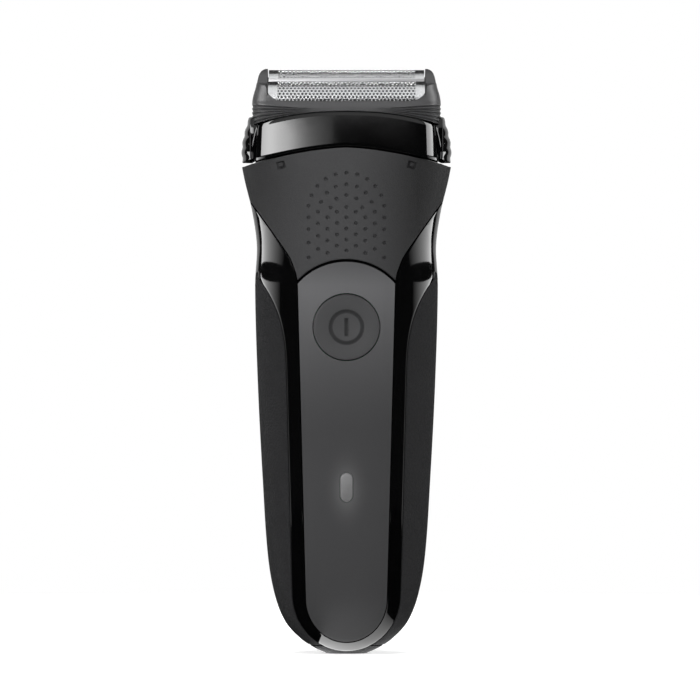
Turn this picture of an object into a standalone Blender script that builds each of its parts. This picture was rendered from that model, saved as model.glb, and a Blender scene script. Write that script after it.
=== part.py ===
"""A cordless foil shaver, standing upright on its charging end.

Sizes are in millimetres here and metres in Blender.
+X is the shaver's left-right, +Z runs from the charging socket to the foils, and the front faces -Y.
The origin is under the middle of the body, on the surface that it stands on.
"""

import math

import bmesh
import bpy
from mathutils import Matrix, Vector

MM = 0.001

# The outer form
BODY_LENGTH = 134.0  # from the base to the neck, where the head begins
BODY_HALF_WIDTH = 25.0  # at the top of the grips
FRONT_DEPTH = 17.0
BACK_DEPTH = 18.5
REST_PATCH_Y = 17.4  # the flat on the back, which the shaver lies on
SQUARENESS = 2.5  # exponent of the sections: 2 is an ellipse
SECTION_SIDES = 30
SECTION_STATIONS = 18
INNER_SIDES = 20
INNER_STATIONS = 10
HEAD_FORM_HEIGHT = 15.0  # the form goes on this far above the neck

# Walls and gaps
SKIN = 1.3
WALL = 3.0
GAP = 0.3
SEAM_Y = 0.0

# The front: strip, rim and shield
STRIP_HALF_TOP = 13.0
STRIP_HALF_BOTTOM = 10.8
STRIP_END_Z = 3.4
STRIP_END_HEIGHT = 12.0
RIM_WIDTH = 3.6
RIM_END_Z = 0.8
RIM_FLARE = 8.4
RIM_FLARE_LENGTH = 28.0
GRIP_TOP_BELOW_NECK = 29.8
GRIP_BACK_Y = 8.0
GRIP_BOTTOM_HALF = 7.6
SHIELD_ARC_GAP = 0.3
SHIELD_SLANT = (  # the side cut's corners: beyond the body's half width, and above the neck
    (1.3, -10.6),
    (-3.5, -17.2),
    (-6.4, -21.4),
    (-9.6, -26.0),
    (-11.4, -30.3),
)
COLLAR_DIP = 4.8  # how far the collar's lower edge falls from its middle to its ends
COLLAR_PEAK = 4.2  # its middle above the neck
DIMPLE_RADIUS = 0.55
DIMPLE_DEPTH = 0.5

# The power button and its switch
BUTTON_BELOW_NECK = 44.9
BUTTON_RADIUS = 9.05
BUTTON_TRAVEL = 0.8
BUTTON_THICK = 2.2
ARC_RADIUS = 17.8
SYMBOL_RADIUS = 4.3
SYMBOL_WIDTH = 1.0
SYMBOL_DEPTH = 0.3
SYMBOL_BAR = 4.8
SWITCH_SIDE = 6.0
SWITCH_HEIGHT = 3.0

# The charge light
LIGHT_Z = 45.7
LIGHT_WIDTH = 3.7
LIGHT_HEIGHT = 8.3

# The charging socket
SOCKET_Y = 1.5
SOCKET_WIDTH = 11.6
SOCKET_DEPTH = 8.6
SOCKET_HEIGHT = 13.0
RECESS_WIDTH = 8.8
RECESS_DEPTH = 6.0
RECESS_HEIGHT = 10.0
PIN_RADIUS = 0.8
PIN_SPACING = 4.0
PIN_LENGTH = 11.0
PIN_EXPOSED = 5.0

# The power pack: two round cells side by side
CELL_RADIUS = 7.25
CELL_LENGTH = 50.5
CELL_Y = 4.0
CELL_BASE_Z = 19.6
TAB_THICK = 0.4

# The board and the chassis
BOARD_WIDTH = 18.0
BOARD_THICK = 1.2
BOARD_BASE_Z = 15.5
CHASSIS_THICK = 1.2
CHASSIS_HALF_WIDTH = 11.0

# The motor
MOTOR_RADIUS = 10.1
MOTOR_FLAT = 7.5
MOTOR_LENGTH = 32.0
MOTOR_Y = 4.8
MOTOR_BELOW_NECK = 22.0  # the top of its can
SHAFT_RADIUS = 1.0
ECCENTRIC_RADIUS = 4.0
ECCENTRIC_HEIGHT = 4.0
STROKE = 1.2
MOUNT_THICK = 1.6

# The head
COLLAR_INSET = 0.4  # the collar's side inside the body's half width
COLLAR_HALF_WIDTH = BODY_HALF_WIDTH - COLLAR_INSET
COLLAR_FRONT = 18.0
COLLAR_BACK = 16.6
COLLAR_TAPER = 1.3
COLLAR_SQUARENESS = 4.5
COLLAR_SIDE_WALL = 2.7
CAVITY_HALF_X = COLLAR_HALF_WIDTH - COLLAR_SIDE_WALL
CAVITY_CORNER = 3.0
DECK_THICK = 4.5
RELEASE_DEPTH = 0.6  # how far the release buttons reach into the collar's side
RELEASE_INNER_X = COLLAR_HALF_WIDTH - RELEASE_DEPTH
RELEASE_TRAVEL = 0.8
RELEASE_HALF_DEPTH = 10.0
RELEASE_CENTRE_Y = -0.7
RELEASE_HEIGHT = 12.7
RELEASE_RIBS = 3
RELEASE_RIB_PITCH = 3.0
RELEASE_GROOVE = 0.45
FRAME_BASE = 14.0  # the frame's lowest middle edge above the neck
FRAME_OVERHANG = 1.1
FRAME_TAPER = 2.7
FRAME_HALF_WIDTH = COLLAR_HALF_WIDTH + FRAME_OVERHANG
FRAME_TOP_HALF_WIDTH = FRAME_HALF_WIDTH - FRAME_TAPER
FRAME_SQUARENESS = 5.5
SPIGOT_WALL = 1.3
SPIGOT_DROP = 6.0
FOIL_RADIUS = 5.0
FOIL_THICK = 0.35
FOIL_LEG = 2.0
FOIL_END_GAP = 0.6
FOIL_HALF_LENGTH = CAVITY_HALF_X - FOIL_END_GAP
TRIMMER_WIDTH = 3.0
TRIMMER_GAP = 0.5
FOIL_PITCH = 2 * (FOIL_RADIUS + TRIMMER_GAP + TRIMMER_WIDTH / 2)
FOIL_MID_Y = -0.6
FRONT_CROWN = 22.0  # the front foil's crown above the neck
FOIL_LEAN = 3.8  # the rear foil's crown above the front one
FLOAT = 1.0
CUTTER_END_GAP = 2.7
CUTTER_HALF_LENGTH = FOIL_HALF_LENGTH - CUTTER_END_GAP
CUTTER_CLEARANCE = 0.25
CUTTER_SLOTS = 9
TRIMMER_HEIGHT = 7.0
TRIMMER_TOP = 23.0  # above the neck
TRIMMER_SLOTS = 15
TRIMMER_BLADE = 0.9
BRIDGE_THICK = 3.2
BRIDGE_BASE = 2.8  # above the neck
BRIDGE_HALF_X = 13.0
POST_RADIUS = 1.3
ROD_RADIUS = 0.8
SEAL_THICK = 1.0
SEAL_BASE = 6.4
SPRING_RADIUS = 2.5
SPRING_WIRE = 0.35
SPRING_TURNS = 4

# The housing screws
SCREW_RADIUS = 1.1
SCREW_HEAD_RADIUS = 2.0
BOSS_RADIUS = 3.0
SCREW_SEAT = 2.8

NECK_Z = BODY_LENGTH
BUTTON_Z = NECK_Z - BUTTON_BELOW_NECK
GRIP_TOP_Z = NECK_Z - GRIP_TOP_BELOW_NECK
FRONT_FOIL_Y = FOIL_MID_Y - FOIL_PITCH / 2
REAR_FOIL_Y = FOIL_MID_Y + FOIL_PITCH / 2
FOIL_SIDE_GAP = 1.2  # between a foil and the cavity's long wall
CAVITY_FRONT_Y = FRONT_FOIL_Y - FOIL_RADIUS - FOIL_SIDE_GAP
CAVITY_BACK_Y = REAR_FOIL_Y + FOIL_RADIUS + FOIL_SIDE_GAP
FRONT_AXIS_Z = NECK_Z + FRONT_CROWN - FOIL_RADIUS
REAR_AXIS_Z = FRONT_AXIS_Z + FOIL_LEAN
FAR = 60.0

MATERIALS = {
    "matte_grey": ((0.075, 0.076, 0.08), 0.45, 0.0),
    "strip_grey": ((0.09, 0.091, 0.095), 0.4, 0.0),
    "gloss_black": ((0.006, 0.006, 0.006), 0.06, 0.0),
    "matte_black": ((0.02, 0.02, 0.021), 0.5, 0.0),
    "rubber_black": ((0.022, 0.022, 0.022), 0.75, 0.0),
    "frame_grey": ((0.1, 0.1, 0.105), 0.4, 0.0),
    "foil_steel": ((0.6, 0.6, 0.6), 0.25, 1.0),
    "steel": ((0.5, 0.5, 0.5), 0.35, 1.0),
    "nickel": ((0.7, 0.68, 0.62), 0.3, 1.0),
    "board_green": ((0.02, 0.14, 0.05), 0.5, 0.0),
    "cell_wrap": ((0.05, 0.2, 0.12), 0.4, 0.0),
    "light_lens": ((0.8, 0.8, 0.8), 0.4, 0.0),
}


# Shared geometry


def curve_value(stations, at):
    """A smooth curve through (position, value) stations, read at one position."""
    if at <= stations[0][0]:
        return stations[0][1]
    if at >= stations[-1][0]:
        return stations[-1][1]
    slopes = []
    for i in range(len(stations)):
        low = stations[max(i - 1, 0)]
        high = stations[min(i + 1, len(stations) - 1)]
        slopes.append((high[1] - low[1]) / (high[0] - low[0]))
    for i in range(len(stations) - 1):
        (x0, y0), (x1, y1) = stations[i], stations[i + 1]
        if at <= x1:
            span = x1 - x0
            t = (at - x0) / span
            return (
                (2 * t**3 - 3 * t**2 + 1) * y0
                + (t**3 - 2 * t**2 + t) * span * slopes[i]
                + (3 * t**2 - 2 * t**3) * y1
                + (t**3 - t**2) * span * slopes[i + 1]
            )
    return stations[-1][1]


WIDTH_CURVE = (
    (0.0, 0.21),
    (0.01, 0.335),
    (0.03, 0.5),
    (0.065, 0.67),
    (0.12, 0.785),
    (0.2, 0.86),
    (0.35, 0.915),
    (0.55, 0.97),
    (0.75, 1.0),
    (0.83, 0.98),
    (0.9, 1.03),
    (0.97, 1.12),
    (1.02, 1.16),
    (1.06, 1.13),
    (1.12, 1.03),
)
DEPTH_CURVE = (
    (0.0, 0.3),
    (0.01, 0.44),
    (0.03, 0.6),
    (0.065, 0.74),
    (0.12, 0.85),
    (0.2, 0.92),
    (0.35, 0.97),
    (0.75, 1.0),
    (0.83, 1.0),
    (0.92, 1.06),
    (1.0, 1.1),
    (1.12, 1.02),
)


def half_width(z):
    return BODY_HALF_WIDTH * curve_value(WIDTH_CURVE, z / BODY_LENGTH)


def front_depth(z):
    return FRONT_DEPTH * curve_value(DEPTH_CURVE, z / BODY_LENGTH)


def back_depth(z):
    return BACK_DEPTH * min(curve_value(DEPTH_CURVE, z / BODY_LENGTH), 1.0)


def ring_points(half_x, front, back, z, power, sides=SECTION_SIDES):
    points = []
    for i in range(sides):
        angle = 2 * math.pi * i / sides
        c = math.cos(angle)
        s = math.sin(angle)
        x = half_x * math.copysign(abs(c) ** (2 / power), c)
        depth = back if s > 0 else front
        y = depth * math.copysign(abs(s) ** (2 / power), s)
        points.append(Vector((x, y, z)))
    return points


def strip_half(z):
    share = (z - STRIP_END_Z) / (BUTTON_Z - STRIP_END_Z)
    return STRIP_HALF_BOTTOM + (STRIP_HALF_TOP - STRIP_HALF_BOTTOM) * share


def rim_half(z):
    flare = max(0.0, (z - GRIP_TOP_Z + RIM_FLARE_LENGTH) / RIM_FLARE_LENGTH)
    return strip_half(z) + RIM_WIDTH + RIM_FLARE * flare**2.8


def round_end(half, end_z, height, steps):
    """The right half of a rounded lower end, from its side to its middle."""
    points = []
    for i in range(steps + 1):
        angle = math.pi / 2 * i / steps
        points.append((half * math.cos(angle), end_z + height * (1 - math.sin(angle))))
    return points


def mirrored(right):
    """A closed outline from its right half, listed from the top down to the middle line."""
    left = [(-x, z) for x, z in reversed(right) if abs(x) > 1e-6]
    return right + left


def strip_outline(grow):
    top = []
    radius = ARC_RADIUS + grow
    side = STRIP_HALF_TOP + 0.15 + grow
    reach = math.asin(side / radius)
    for i in range(6):
        angle = reach * i / 5
        top.append((radius * math.sin(angle), BUTTON_Z + radius * math.cos(angle)))
    end_top = STRIP_END_Z + STRIP_END_HEIGHT
    sides = [(strip_half(z) + grow, z) for z in (BUTTON_Z, (BUTTON_Z + end_top) / 2)]
    end = round_end(strip_half(end_top) + grow, STRIP_END_Z - grow, STRIP_END_HEIGHT + grow, 5)
    return mirrored(top + sides + end)


def rim_outline(grow):
    end_top = RIM_END_Z + STRIP_END_HEIGHT + RIM_WIDTH
    side = []
    for i in range(8):
        z = GRIP_TOP_Z + 3.0 - (GRIP_TOP_Z + 3.0 - end_top) * (i / 7) ** 1.6
        side.append((rim_half(z) + grow, z))
    end = round_end(rim_half(end_top) + grow, RIM_END_Z - grow, end_top - RIM_END_Z + grow, 5)
    return mirrored([(0.0, GRIP_TOP_Z + 3.0)] + side + end[1:])


def collar_edge(x):
    """The collar's lower edge: a shallow rounded chevron."""
    return NECK_Z + COLLAR_PEAK - COLLAR_DIP * (abs(x) / 28.2) ** 1.55


def frame_edge(x):
    """The line where the foil frame meets the collar."""
    return NECK_Z + FRAME_BASE - 0.3 - 3.4 * (abs(x) / BODY_HALF_WIDTH) ** 2.2


def edge_line(rule, half, steps):
    return [(half - 2 * half * i / steps, rule(half - 2 * half * i / steps)) for i in range(steps + 1)]


def shield_outline(grow):
    """The shield: the collar's edge on top, a slanted cut at each side and an arc round the button."""
    right = []
    for i in range(6):
        x = 5.7 * i
        right.append((x, collar_edge(x) - 2 * GAP + grow))
    right.append((FAR, collar_edge(28.5) - 2 * GAP + grow))
    side_x, side_z = SHIELD_SLANT[0]
    right.append((FAR, NECK_Z + side_z - grow))
    right.append((BODY_HALF_WIDTH + side_x + grow, NECK_Z + side_z - grow))
    for x, z in SHIELD_SLANT[1:]:
        right.append((BODY_HALF_WIDTH + x + grow, NECK_Z + z))
    radius = ARC_RADIUS + SHIELD_ARC_GAP + GAP - grow
    side = STRIP_HALF_TOP + 0.3 + grow
    reach = math.asin(side / radius)
    for i in range(5, -1, -1):
        angle = reach * i / 5
        right.append((radius * math.sin(angle), BUTTON_Z + radius * math.cos(angle)))
    return mirrored(right)


def oval(half_x, half_y, steps=7):
    """A stadium, longer along its first axis."""
    straight = half_x - half_y
    points = []
    for side in (1, -1):
        for i in range(steps + 1):
            angle = side * math.pi / 2 - math.pi * i / steps
            points.append((side * straight + half_y * math.cos(angle), half_y * math.sin(angle)))
    return points


def rounded_rect(half_x, front, back, corner, steps=3):
    """A rectangle in X and Y with round corners."""
    corner = max(corner, 0.2)
    points = []
    for x, y, start in ((half_x, back, 0), (-half_x, back, 90), (-half_x, front, 180), (half_x, front, 270)):
        centre_x = x - math.copysign(corner, x)
        centre_y = y - corner if start < 180 else y + corner
        for i in range(steps + 1):
            angle = math.radians(start + 90 * i / steps)
            points.append((centre_x + corner * math.cos(angle), centre_y + corner * math.sin(angle)))
    return points


def cavity_outline(inset):
    """The head's cavity in plan, drawn in by a clearance or a wall."""
    front = CAVITY_FRONT_Y + inset
    return rounded_rect(CAVITY_HALF_X - inset, front, CAVITY_BACK_Y - inset, CAVITY_CORNER - inset)


# Objects


def material_of(name):
    found = bpy.data.materials.get(name)
    if found:
        return found
    color, roughness, metallic = MATERIALS[name]
    made = bpy.data.materials.new(name)
    made.use_nodes = True
    shader = made.node_tree.nodes["Principled BSDF"]
    shader.inputs["Base Color"].default_value = (*color, 1.0)
    shader.inputs["Roughness"].default_value = roughness
    shader.inputs["Metallic"].default_value = metallic
    made.diffuse_color = (*color, 1.0)
    return made


def object_of(name, bm, material=None, origin=(0.0, 0.0, 0.0)):
    """Makes an object from a bmesh in millimetres. With no material it is a cutter, left out of the model."""
    bmesh.ops.recalc_face_normals(bm, faces=bm.faces)
    bmesh.ops.translate(bm, vec=-Vector(origin), verts=bm.verts)
    bmesh.ops.scale(bm, vec=(MM, MM, MM), verts=bm.verts)
    mesh = bpy.data.meshes.new(name)
    bm.to_mesh(mesh)
    bm.free()
    mesh.shade_smooth()
    mesh.set_sharp_from_angle(angle=math.radians(32))
    made = bpy.data.objects.new(name, mesh)
    made.location = Vector(origin) * MM
    bpy.context.scene.collection.objects.link(made)
    if material:
        mesh.materials.append(material_of(material))
    else:
        made.hide_render = True
        made.display_type = "WIRE"
    return made


def combine(target, other, operation):
    modifier = target.modifiers.new(operation.title() + " " + other.name, "BOOLEAN")
    modifier.operation = operation
    modifier.solver = "EXACT"
    modifier.object = other
    return target


def cut(target, *others):
    for other in others:
        combine(target, other, "DIFFERENCE")
    return target


def keep(target, *others):
    for other in others:
        combine(target, other, "INTERSECT")
    return target


def join(target, *others):
    for other in others:
        combine(target, other, "UNION")
    return target


def loft(name, rings, material=None, origin=(0.0, 0.0, 0.0)):
    bm = bmesh.new()
    loops = [[bm.verts.new(p) for p in ring] for ring in rings]
    count = len(loops[0])
    for low, high in zip(loops, loops[1:]):
        for i in range(count):
            bm.faces.new((low[i], low[(i + 1) % count], high[(i + 1) % count], high[i]))
    bm.faces.new(reversed(loops[0]))
    bm.faces.new(loops[-1])
    bmesh.ops.triangulate(bm, faces=bm.faces[:])
    return object_of(name, bm, material, origin)


def body_form(name, inset, material=None, sides=SECTION_SIDES, stations=SECTION_STATIONS):
    """The whole outer form, drawn in by a wall, closed flat at both ends."""
    rings = []
    top = BODY_LENGTH + HEAD_FORM_HEIGHT
    for i in range(stations + 1):
        z = top * (i / stations) ** 1.7
        lift = inset * max(0.0, 1 - z / 20.0)
        rings.append(
            ring_points(
                max(half_width(z) - inset, 1.0),
                max(front_depth(z) - inset, 1.0),
                max(back_depth(z) - inset, 1.0),
                z + lift,
                SQUARENESS,
                sides,
            )
        )
    return loft(name, rings, material)


def extruded(name, points, direction, material=None, origin=(0.0, 0.0, 0.0)):
    bm = bmesh.new()
    face = bm.faces.new([bm.verts.new(p) for p in points])
    made = bmesh.ops.extrude_face_region(bm, geom=[face])
    moved = [v for v in made["geom"] if isinstance(v, bmesh.types.BMVert)]
    bmesh.ops.translate(bm, vec=direction, verts=moved)
    return object_of(name, bm, material, origin)


def prism_y(name, outline, low, high, material=None, origin=(0.0, 0.0, 0.0)):
    """An outline in X and Z, carried from one Y to another."""
    points = [Vector((x, low, z)) for x, z in outline]
    return extruded(name, points, Vector((0, high - low, 0)), material, origin)


def prism_x(name, outline, low, high, material=None, origin=(0.0, 0.0, 0.0)):
    """An outline in Y and Z, carried from one X to another."""
    points = [Vector((low, y, z)) for y, z in outline]
    return extruded(name, points, Vector((high - low, 0, 0)), material, origin)


def prism_z(name, outline, low, high, centre=(0.0, 0.0), material=None, origin=(0.0, 0.0, 0.0)):
    """An outline in X and Y, carried from one Z to another."""
    points = [Vector((x + centre[0], y + centre[1], low)) for x, y in outline]
    return extruded(name, points, Vector((0, 0, high - low)), material, origin)


def box(name, low, high, material=None, bevel=0.0, origin=(0.0, 0.0, 0.0)):
    bm = bmesh.new()
    bmesh.ops.create_cube(bm, size=1.0)
    size = Vector(high) - Vector(low)
    bmesh.ops.scale(bm, vec=size, verts=bm.verts)
    bmesh.ops.translate(bm, vec=(Vector(high) + Vector(low)) / 2, verts=bm.verts)
    if bevel:
        bmesh.ops.bevel(bm, geom=bm.edges, offset=bevel, segments=1, affect="EDGES")
    return object_of(name, bm, material, origin)


def rod(name, radius, start, end, material=None, sides=16, origin=(0.0, 0.0, 0.0)):
    start = Vector(start)
    along = Vector(end) - start
    bm = bmesh.new()
    bmesh.ops.create_cone(
        bm, cap_ends=True, segments=sides, radius1=radius, radius2=radius, depth=along.length
    )
    turn = along.to_track_quat("Z", "Y").to_matrix().to_4x4()
    bmesh.ops.transform(bm, matrix=turn, verts=bm.verts)
    bmesh.ops.translate(bm, vec=start + along / 2, verts=bm.verts)
    return object_of(name, bm, material, origin)


# The body


def make_forms():
    """The nested forms that every shell is cut from."""
    forms = {
        "outer": body_form("form_outer", 0.0),
        "skin": body_form("form_skin", SKIN),
        "seat": body_form("form_seat", SKIN + GAP),
        "inner": body_form("form_inner", WALL, None, INNER_SIDES, INNER_STATIONS),
    }
    return forms


def housing_top_cutter(name, drop):
    """Takes away everything above the collar's lower edge."""
    line = edge_line(collar_edge, FAR / 2, 12)
    outline = [(x, z - drop) for x, z in line] + [(-FAR, FAR * 4), (FAR, FAR * 4)]
    return prism_y(name, outline, -FAR, FAR)


def boss_places():
    return [(-10.8, 12.2), (10.8, 12.2), (-17.0, NECK_Z - 15.5), (17.0, NECK_Z - 15.5)]


def grip_region(name, grow):
    """Both sides outside the rim, clear of the socket, from the front round to the back edge of the grips."""
    region = box(name, (-FAR, -FAR, -5.0), (FAR, GRIP_BACK_Y + grow, GRIP_TOP_Z + grow))
    cut(region, prism_y(name + "_rim", rim_outline(GAP / 2 - grow), -FAR, FAR))
    middle = GRIP_BOTTOM_HALF - grow
    cut(region, box(name + "_base", (-middle, -FAR, -6.0), (middle, FAR, 14.0)))
    return region


def make_front_housing(forms):
    body = body_form("front_housing", 0.0, "gloss_black")
    cut(body, forms["inner"])
    cut(body, box("behind_front", (-FAR, SEAM_Y - GAP / 2, -9.0), (FAR, FAR, FAR * 4)))
    cut(body, housing_top_cutter("front_top", GAP))
    for index, (x, z) in enumerate(boss_places()):
        boss = rod(f"front_boss_{index}", BOSS_RADIUS, (x, -20.0, z), (x, SEAM_Y - GAP / 2, z), sides=10)
        join(body, keep(boss, forms["skin"]))
        bore = rod(f"front_bore_{index}", SCREW_RADIUS + GAP, (x, SEAM_Y - 5.0, z), (x, 5.0, z), sides=8)
        cut(body, bore)
    pockets = (
        prism_y("strip_pocket", strip_outline(GAP / 2), -FAR, -2.0),
        prism_y("shield_pocket", shield_outline(GAP / 2), -FAR, SEAM_Y + 1.0),
        grip_region("grip_pocket", GAP / 2),
    )
    for pocket in pockets:
        cut(body, cut(pocket, forms["seat"]))
    hole = rod("button_hole", BUTTON_RADIUS + GAP, (0, -FAR, BUTTON_Z), (0, 0, BUTTON_Z), sides=24)
    cut(body, hole)
    cut(body, prism_y("light_hole", light_outline(GAP), -FAR, 0.0))
    cut(body, socket_block("front_socket_space", GAP))
    return body


def make_rear_housing(forms):
    body = body_form("rear_housing", 0.0, "matte_black")
    cut(body, forms["inner"])
    cut(body, box("before_rear", (-FAR, -FAR, -9.0), (FAR, SEAM_Y + GAP / 2, FAR * 4)))
    cut(body, box("rest_patch", (-FAR, REST_PATCH_Y, -9.0), (FAR, FAR, FAR * 4)))
    cut(body, housing_top_cutter("rear_top", GAP))
    for index, (x, z) in enumerate(boss_places()):
        boss = rod(f"rear_boss_{index}", BOSS_RADIUS, (x, SEAM_Y + GAP / 2, z), (x, 20.0, z), sides=10)
        join(body, keep(boss, forms["skin"]))
    for index, (x, z) in enumerate(boss_places()):
        cut(body, rod(f"rear_bore_{index}", SCREW_RADIUS + GAP, (x, -2.0, z), (x, 20.0, z), sides=8))
        sink = SCREW_HEAD_RADIUS + GAP
        floor = SCREW_SEAT
        cut(body, rod(f"rear_sink_{index}", sink, (x, floor, z), (x, 30.0, z), sides=12))
    region = grip_region("rear_grip_pocket", GAP / 2)
    cut(body, cut(region, forms["seat"]))
    cut(body, socket_block("rear_socket_space", GAP))
    return body


def make_grips(forms):
    for side, name in ((-1, "grip_left"), (1, "grip_right")):
        grip = body_form(name, 0.0, "rubber_black")
        cut(grip, forms["skin"])
        keep(grip, grip_region(name + "_region", -GAP / 2))
        half = box(name + "_half", (-FAR, -FAR, -9.0), (FAR, FAR, FAR * 4))
        half.location.x = side * FAR * MM
        keep(grip, half)


def dimple_places():
    """Arcs above the middle of the shield, and staggered columns below them."""
    places = []
    centre = NECK_Z - 13.0
    for radius, step, most in ((10.4, 16.3, 5), (7.3, 23.2, 3), (4.4, 38.0, 2)):
        for k in range(-most, most + 1):
            angle = math.radians(step * k)
            places.append((radius * math.sin(angle), centre + radius * math.cos(angle)))
    for column in range(5):
        rise = 1.5 if column % 2 else 0.0
        for row in range(4):
            z = centre - 1.9 + rise - 3.05 * row
            if column > 2:
                z += 0.1 * row
            for side in (-1, 1) if column else (1,):
                places.append((side * 2.56 * column, z))
    places.append((0.0, centre + 1.2))
    return places


def make_shield(forms):
    shield = body_form("front_shield", 0.0, "matte_grey")
    cut(shield, forms["skin"])
    region = prism_y("shield_region", shield_outline(-GAP / 2), -FAR, SEAM_Y - GAP / 2)
    keep(shield, region)
    bm = bmesh.new()
    for x, z in dimple_places():
        made = bmesh.ops.create_cone(
            bm, cap_ends=True, segments=5, radius1=DIMPLE_RADIUS, radius2=DIMPLE_RADIUS, depth=FAR
        )
        turn = Vector((0, 1, 0)).to_track_quat("Z", "Y").to_matrix().to_4x4()
        bmesh.ops.transform(bm, matrix=turn, verts=made["verts"])
        bmesh.ops.translate(bm, vec=(x, -FAR / 2, z), verts=made["verts"])
    dimples = object_of("dimples", bm)
    cut(dimples, body_form("dimple_floor", DIMPLE_DEPTH))
    cut(shield, dimples)


def make_strip(forms):
    strip = body_form("centre_strip", 0.0, "strip_grey")
    cut(strip, forms["skin"])
    keep(strip, prism_y("strip_region", strip_outline(-GAP / 2), -FAR, -2.0))
    cut(strip, rod("strip_hole", BUTTON_RADIUS + GAP / 2, (0, -FAR, BUTTON_Z), (0, 0, BUTTON_Z), sides=24))
    cut(strip, prism_y("strip_light_hole", light_outline(GAP / 2), -FAR, 0.0))


def light_outline(grow):
    outline = oval(LIGHT_HEIGHT / 2 + grow, LIGHT_WIDTH / 2 + grow)
    return [(z, x + LIGHT_Z) for x, z in outline]


def make_light(forms):
    face = -front_depth(LIGHT_Z)
    lens = prism_y("light_lens", light_outline(-GAP / 2), face - 1.0, face + WALL + GAP, "light_lens")
    keep(lens, body_form("lens_face", 0.1))
    board = board_front()
    low = (-1.2, board - 1.5, LIGHT_Z - 1.8)
    box("light_chip", low, (1.2, board - GAP, LIGHT_Z + 1.8), "light_lens", bevel=0.2)


def board_front():
    return board_back() - BOARD_THICK


def board_back():
    return chassis_front() - GAP


def chassis_front():
    return CELL_Y - CELL_RADIUS - GAP - CHASSIS_THICK


def make_power_button():
    """A round plate with a dished face, an engraved power mark and a stem to the switch."""
    face = -front_depth(BUTTON_Z) + 0.35
    bm = bmesh.new()
    profile = ((0.0, 1.0), (3.0, 0.9), (6.0, 0.55), (8.2, 0.12))
    profile += ((BUTTON_RADIUS - 0.3, 0.0), (BUTTON_RADIUS, 0.3))
    profile += ((BUTTON_RADIUS, BUTTON_THICK), (2.0, BUTTON_THICK))
    stem = board_front() - SWITCH_HEIGHT - GAP - face
    profile += ((2.0, stem), (0.0, stem))
    verts = [bm.verts.new((r, face + y, BUTTON_Z)) for r, y in profile]
    for a, b in zip(verts, verts[1:]):
        bm.edges.new((a, b))
    bmesh.ops.spin(
        bm,
        geom=bm.verts[:] + bm.edges[:],
        cent=(0, 0, BUTTON_Z),
        axis=(0, 1, 0),
        angle=2 * math.pi,
        steps=24,
        use_merge=True,
    )
    bmesh.ops.remove_doubles(bm, verts=bm.verts, dist=0.001)
    button = object_of("power_button", bm, "strip_grey", (0.0, face, BUTTON_Z))
    middle = face + 0.75
    front = (0, middle - 9, BUTTON_Z)
    floor = (0, middle + SYMBOL_DEPTH, BUTTON_Z)
    ring = rod("mark_ring", SYMBOL_RADIUS + SYMBOL_WIDTH / 2, front, floor, sides=20)
    half = SYMBOL_WIDTH / 2
    core = rod("mark_core", SYMBOL_RADIUS - half, (0, -FAR, BUTTON_Z), (0, FAR, BUTTON_Z), sides=20)
    cut(ring, core)
    low = (-half, middle - 9, BUTTON_Z - SYMBOL_BAR / 2)
    high = (half, middle + SYMBOL_DEPTH, BUTTON_Z + SYMBOL_BAR / 2)
    cut(button, ring, box("mark_bar", low, high))


# Inside the body


def socket_block(name, grow, material=None):
    outline = oval(SOCKET_WIDTH / 2 + grow, SOCKET_DEPTH / 2 + grow)
    low = -8.0 if grow else 0.0
    return prism_z(name, outline, low, SOCKET_HEIGHT + grow, (0.0, SOCKET_Y), material)


def make_socket():
    socket = socket_block("power_socket", 0.0, "matte_black")
    recess = oval(RECESS_WIDTH / 2, RECESS_DEPTH / 2)
    cut(socket, prism_z("socket_recess", recess, -3.0, RECESS_HEIGHT, (0.0, SOCKET_Y)))
    for side, name in ((-1, "contact_pin_left"), (1, "contact_pin_right")):
        x = side * PIN_SPACING / 2
        tip = RECESS_HEIGHT - PIN_EXPOSED
        hole = rod(name + "_hole", PIN_RADIUS + GAP, (x, SOCKET_Y, 1.0), (x, SOCKET_Y, 20.0), sides=12)
        cut(socket, hole)
        rod(name, PIN_RADIUS, (x, SOCKET_Y, tip), (x, SOCKET_Y, tip + PIN_LENGTH), "nickel", 12)


def make_cells():
    centre = CELL_RADIUS + GAP / 2
    top = CELL_BASE_Z + CELL_LENGTH
    for side, name in ((-1, "battery_cell_left"), (1, "battery_cell_right")):
        x = side * centre
        cell = rod(name, CELL_RADIUS, (x, CELL_Y, CELL_BASE_Z), (x, CELL_Y, top - 1.0), "cell_wrap", 28)
        button = rod(name + "_button", 2.8, (x, CELL_Y, top - 2.0), (x, CELL_Y, top), sides=16)
        join(cell, button)
        low = CELL_BASE_Z - GAP - TAB_THICK
        side_name = name.rsplit("_", 1)[1]
        box(
            "battery_tab_" + side_name,
            (x - 3.0, CELL_Y - 3.0, low),
            (x + 3.0, CELL_Y + 3.0, low + TAB_THICK),
            "nickel",
        )
    low = top + GAP
    box(
        "battery_tab_top",
        (-centre - 2.5, CELL_Y - 2.5, low),
        (centre + 2.5, CELL_Y + 2.5, low + TAB_THICK),
        "nickel",
    )


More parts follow.
